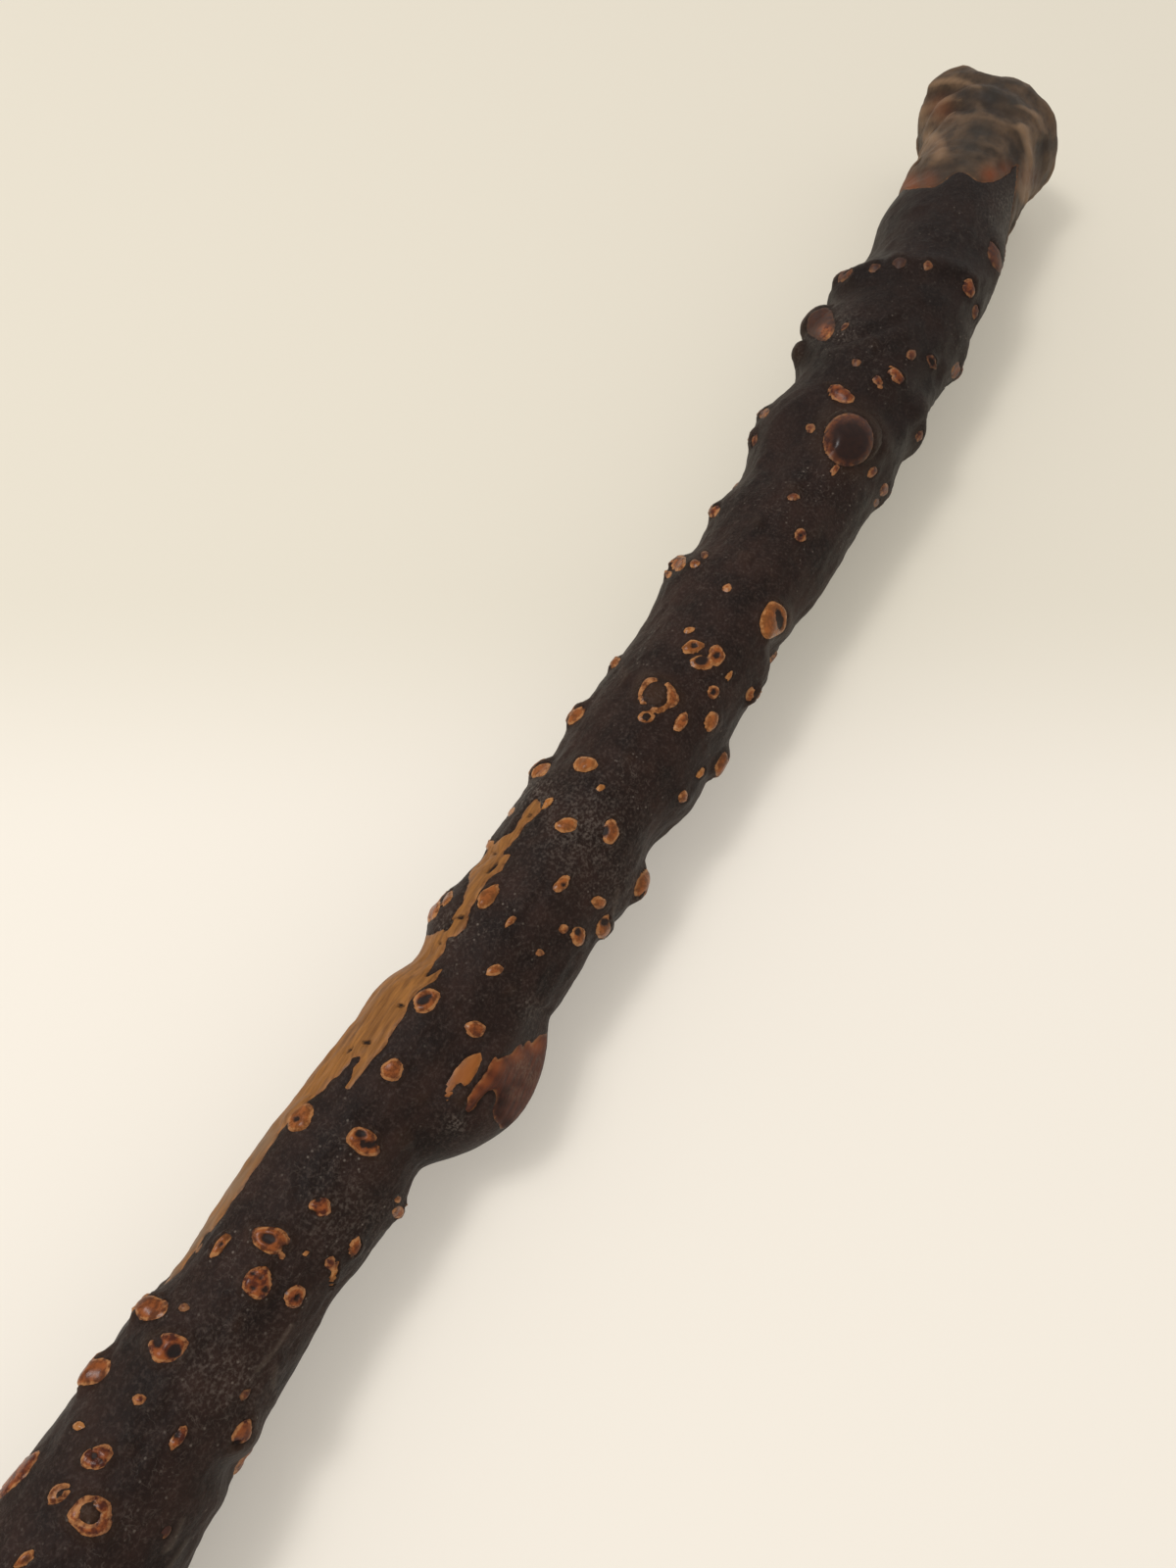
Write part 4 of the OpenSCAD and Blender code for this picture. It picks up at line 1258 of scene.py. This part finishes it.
# %% Wood finish: patterns
# Varnished wood: to the eye warm and glassy on a fresh cut, and matt where it was rubbed.
wood_finish, tree, shader, coords, field = new_finish("blackthorn_wood_varnished", wood_fields)
along = add(tree, "ShaderNodeVectorMath", {0: coords, 1: (0.1, 1, 1)}, operation="MULTIPLY")
noise = add_rows(tree, "ShaderNodeTexNoise", NOISE, [
    ("cloud", coords, size(1.1), 4, 0.6), ("grain", along, size(0.7), 5, 0.65),
    ("grit", coords, size(0.5), 3), ("mottle", coords, size(5), 5, 0.6),
])
ragged_edge = {
    name: add(
        tree, "ShaderNodeMath", {0: noise["cloud"], 1: amount, 2: field[name]},
        operation="MULTIPLY_ADD",
    )
    for name, amount in [("bare", -0.5), ("pit", 0.7)]
}
share = add_rows(tree, "ShaderNodeMapRange", RANGE, [
    ("patchy", noise["cloud"], 0.4, 0.6), ("gloss", noise["cloud"], 0.3, 0.7, 0.34, 0.2),
    ("tan", field["tone"], 0, 1, 0.8), ("dull", field["tone"], 0, -1, 0.9),
    # The rim share is a pale edge round each stub: partly worn wood, partly a painted highlight.
    ("deeper", field["bare"], 0.15, 1.3, 0.3), ("rim", ragged_edge["bare"], 0.16, 0, 0.45),
    ("fibre", noise["grain"], 0.32, 0.68), ("specks", noise["grit"], 0.42, 0.64, 0.8, 0.1),
    ("mottle", noise["mottle"], 0.36, 0.64), ("pit", ragged_edge["pit"], 0.2, 0.5, 0.95),
    # On the knob, the crest share is a painted highlight and the groove share is painted shade.
    ("painted_crest_light", field["relief"], 0.1, 1, 0.7), ("groove", field["relief"], -0.1, -0.9, 0.65),
    ("heart", field["heart"], -0.5, 1.2, 0.94),
])
for name, other in [("rim", share["patchy"]), ("specks", field["grey"])]:
    share[name] = add(tree, "ShaderNodeMath", {0: share[name], 1: other}, operation="MULTIPLY")
print("Wood patterns:", len(share))

# %% Wood finish: layers
# Each kind of wood has a ground colour and layers over it, and the kinds then lie on each other.
woods = {
    "stub": ("#401708", [
        (share["patchy"], "#8c491d"), (share["tan"], "#a5682c"), (share["deeper"], "#5c260b"),
        # Pale rim of a stub: partly a worn edge, partly a painted highlight.
        (share["rim"], "#b98a58"), (share["dull"], "#35221b"),
    ]),
    "worn": ("#643d17", [
        # The grey layer here is partly a worn edge and partly a painted sheen by the outline.
        (share["fibre"], "#95622c"), (field["warmth_and_highlight"], "#8a4a17"), (field["grey"], "#735f4b"),
    ]),
    "branch": ("#300f03", [
        (share["fibre"], "#57230a"), (share["tan"], "#8f4a20"), (share["dull"], "#1f0d07"),
        (share["specks"], "#6f5643"),
    ]),
    # The knob's crests get a painted highlight and its grooves painted shade, over its own mottle.
    "knob": ("#35281c", [
        (share["mottle"], "#5d4733"), (field["grey"], "#2b2620"), (share["painted_crest_light"], "#8a6d52"),
        # The warm layer is warm wood, with one painted highlight by the bark's edge.
        (share["groove"], "#1e1610"), (field["warmth_and_highlight"], "#6a3412"),
    ]),
}
for kind, (ground, layers) in woods.items():
    woods[kind] = linear(ground)
    for factor, layer in layers:
        mixed = {"Factor": factor, "A": woods[kind], "B": linear(layer)}
        woods[kind] = add(tree, "ShaderNodeMix", mixed, data_type="RGBA")
colour = woods["stub"]
for factor, layer in [
    (field["worn"], woods["worn"]), (field["branch"], woods["branch"]),
    (field["knob"], woods["knob"]),
    (share["pit"], linear("#120a08")), (share["heart"], linear("#1d0d08")),
]:
    mixed = {"Factor": factor, "A": colour, "B": layer}
    colour = add(tree, "ShaderNodeMix", mixed, data_type="RGBA")
print("Kinds of wood:", ", ".join(woods))

# %% Wood finish: gloss and grain
matt = field["worn"]
for name in ("knob", "branch"):
    matt = add(tree, "ShaderNodeMath", {0: matt, 1: field[name]}, operation="MAXIMUM")
gloss = share["gloss"]
for factor, change in [
    (matt, 0.28), (share["pit"], 0.3), (share["dull"], 0.3), (share["heart"], -0.1),
]:
    changed = {0: factor, 1: change, 2: gloss}
    gloss = add(tree, "ShaderNodeMath", changed, operation="MULTIPLY_ADD")
polished = {"Value": share["heart"], "To Min": 0.5, "To Max": 0}
rough_grain = add(tree, "ShaderNodeMapRange", polished)
height = add(tree, "ShaderNodeMath", {0: noise["grain"], 1: rough_grain}, operation="MULTIPLY")
height = add(tree, "ShaderNodeMath", {0: height, 1: share["pit"]}, operation="SUBTRACT")
grain = {"Height": height, "Strength": 0.45, "Distance": 0.3 * MM}
connect(tree, shader, colour, gloss, add(tree, "ShaderNodeBump", grain))
shader.inputs["Specular IOR Level"].default_value = 0.22
wood.data.materials.append(wood_finish)
print("Made", wood_finish.name, "with", len(tree.nodes), "nodes")

# %% [markdown]
# ## Ferrule
# The foot's ferrule is a drawn brass sleeve with a turned steel tip, held by two pins of brass
# wire. Their shapes in the CAD model are right, so they keep their meshes and only get finishes.
# Drawing leaves faint lines along the brass, turning leaves rings on the steel, and handling dulls
# both.

# %% Brass and steel
stain_mm, line_mm, line_depth = 6, 0.35, 0.06


def metal_finish(name, dark, light, stretch, roughness):
    finish, tree, shader, coords, _ = new_finish(name)
    lines = add(tree, "ShaderNodeVectorMath", {0: coords, 1: stretch}, operation="MULTIPLY")
    noise = add_rows(tree, "ShaderNodeTexNoise", NOISE, [
        ("stain", coords, size(stain_mm), 5, 0.65), ("lines", lines, size(line_mm), 3),
    ])
    stain = {"Value": noise["stain"], "From Min": 0.35, "From Max": 0.65}
    stain = add(tree, "ShaderNodeMapRange", stain)
    mixed = {"Factor": stain, "A": linear(dark), "B": linear(light)}
    colour = add(tree, "ShaderNodeMix", mixed, data_type="RGBA")
    dulled = {"Value": stain, "To Min": roughness + 0.14, "To Max": roughness}
    bumps = {"Height": noise["lines"], "Strength": 0.25, "Distance": line_depth * MM}
    dulled, bumps = add(tree, "ShaderNodeMapRange", dulled), add(tree, "ShaderNodeBump", bumps)
    connect(tree, shader, colour, dulled, bumps)
    shader.inputs["Metallic"].default_value = 1.0
    return finish


# To the eye: lines along the yellow sleeve, rings on the grey tip, and brighter, filed pins.
# The lines of real drawing and turning are finer, and 0.35 mm is as coarse as they need to show.
metal_finishes = {
    "ferrule_sleeve": ("drawn_brass_dulled", "#8a6a38", "#b8935a", (0.05, 1, 1), 0.26),
    "ferrule_tip": ("turned_steel_worn", "#6f6f6e", "#9a9a98", (1, 0.3, 0.3), 0.3),
    "ferrule_pins": ("cut_brass_wire", "#96743c", "#c4a062", (1, 1, 0.2), 0.24),
}
for node, finish in metal_finishes.items():
    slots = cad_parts[node].data.materials
    slots.clear()
    slots.append(metal_finish(*finish))
    print(node, "has", slots[0].name)

# %% [markdown]
# ## On the frame
# Both skins ride on the one body of the stick and stand for its CAD nodes, which stay behind them
# for the physics.

# %% Ride on the frame
for piece, node, finish_slot in [(wood, "stem_wood", "wood"), (bark, "bark", "bark")]:
    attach(piece, "root")
    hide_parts(node)
    print(piece.name, "stands for", node)

# %% [markdown]
# ## Table
# The stick lies on a warm white table, painted a shade brighter on the near side as a painted
# pool of light. A part of the table's colour is its own glow to the camera, so that the shadow
# stays as soft as in the photograph.

# %% Table
# Painted board: to the eye an even warm white with hardly any sheen; its near side is painted
# brighter, as painted light.
table_size, far_edge, near_edge, glow_share = 6, 0.275, 0.215, 0.3
deselect()
bpy.ops.mesh.primitive_plane_add(size=table_size, location=(0, 0, 0))
table = bpy.context.object
table.name = "table"
table_finish, tree, shader, coords, _ = new_finish("painted_table")
ahead = {0: coords, 1: (math.cos(heading), math.sin(heading), 0)}
ahead = add(tree, "ShaderNodeVectorMath", ahead, operation="DOT_PRODUCT")
# Painted light: the table is painted brighter toward the near side.
painted_near_light = {"Value": ahead, "From Min": far_edge, "From Max": near_edge}
painted_near_light = add(tree, "ShaderNodeMapRange", painted_near_light, interpolation_type="SMOOTHSTEP")
mixed = {"Factor": painted_near_light, "A": linear("#e4dccb"), "B": linear("#f2eadd")}
table_colour = add(tree, "ShaderNodeMix", mixed, data_type="RGBA")
tree.links.new(table_colour, shader.inputs["Base Color"])
shader.inputs["Roughness"].default_value = 0.6
shader.inputs["Specular IOR Level"].default_value = 0.2
rays = add(tree, "ShaderNodeLightPath").node.outputs
shown = rays["Is Camera Ray"]
for ray in ("Is Glossy Ray", "Is Transmission Ray"):
    shown = add(tree, "ShaderNodeMath", {0: shown, 1: rays[ray]}, operation="MAXIMUM")
shown = add(tree, "ShaderNodeMath", {0: shown, 1: glow_share}, operation="MULTIPLY")
glow = add(tree, "ShaderNodeEmission", {"Color": table_colour, "Strength": 1.0})
both = add(tree, "ShaderNodeMixShader", {0: shown, 1: shader.outputs[0], 2: glow})
tree.links.new(both, tree.nodes["Material Output"].inputs["Surface"])
table.data.materials.append(table_finish)
print("Table", table.dimensions[0], "m wide")

# %% [markdown]
# ## Light
# The room gives an even, slightly warm light, and a window on the stick's left gives the rest. The
# window is a soft lamp with a smaller one in its middle, which draws the glints on the varnish.

# %% Light
room_colour, room_strength = (1, 0.985, 0.96, 1), 0.64
window_place, window_target = np.array([0.0, 0.45, 1.1]), np.array([0.25, 0, 0])
lamps = [(0.5, 4.2), (0.2, 3.2)]
world = bpy.data.worlds.new("soft_room")
world.use_nodes = True
world.node_tree.nodes["Background"].inputs["Color"].default_value = room_colour
world.node_tree.nodes["Background"].inputs["Strength"].default_value = room_strength
bpy.context.scene.world = world
deselect()
aim = window_target - window_place
tilt = math.atan2(math.hypot(aim[0], aim[1]), -aim[2])
aim_turn = (tilt, 0, math.atan2(aim[1], aim[0]) - math.pi / 2)
for lamp_size, lamp_power in lamps:
    bpy.ops.object.light_add(type="AREA", location=window_place, rotation=aim_turn)
    bpy.context.object.data.size = lamp_size
    bpy.context.object.data.energy = lamp_power
bpy.context.scene.view_settings.view_transform = "Standard"
print("Lamps:", len(lamps))
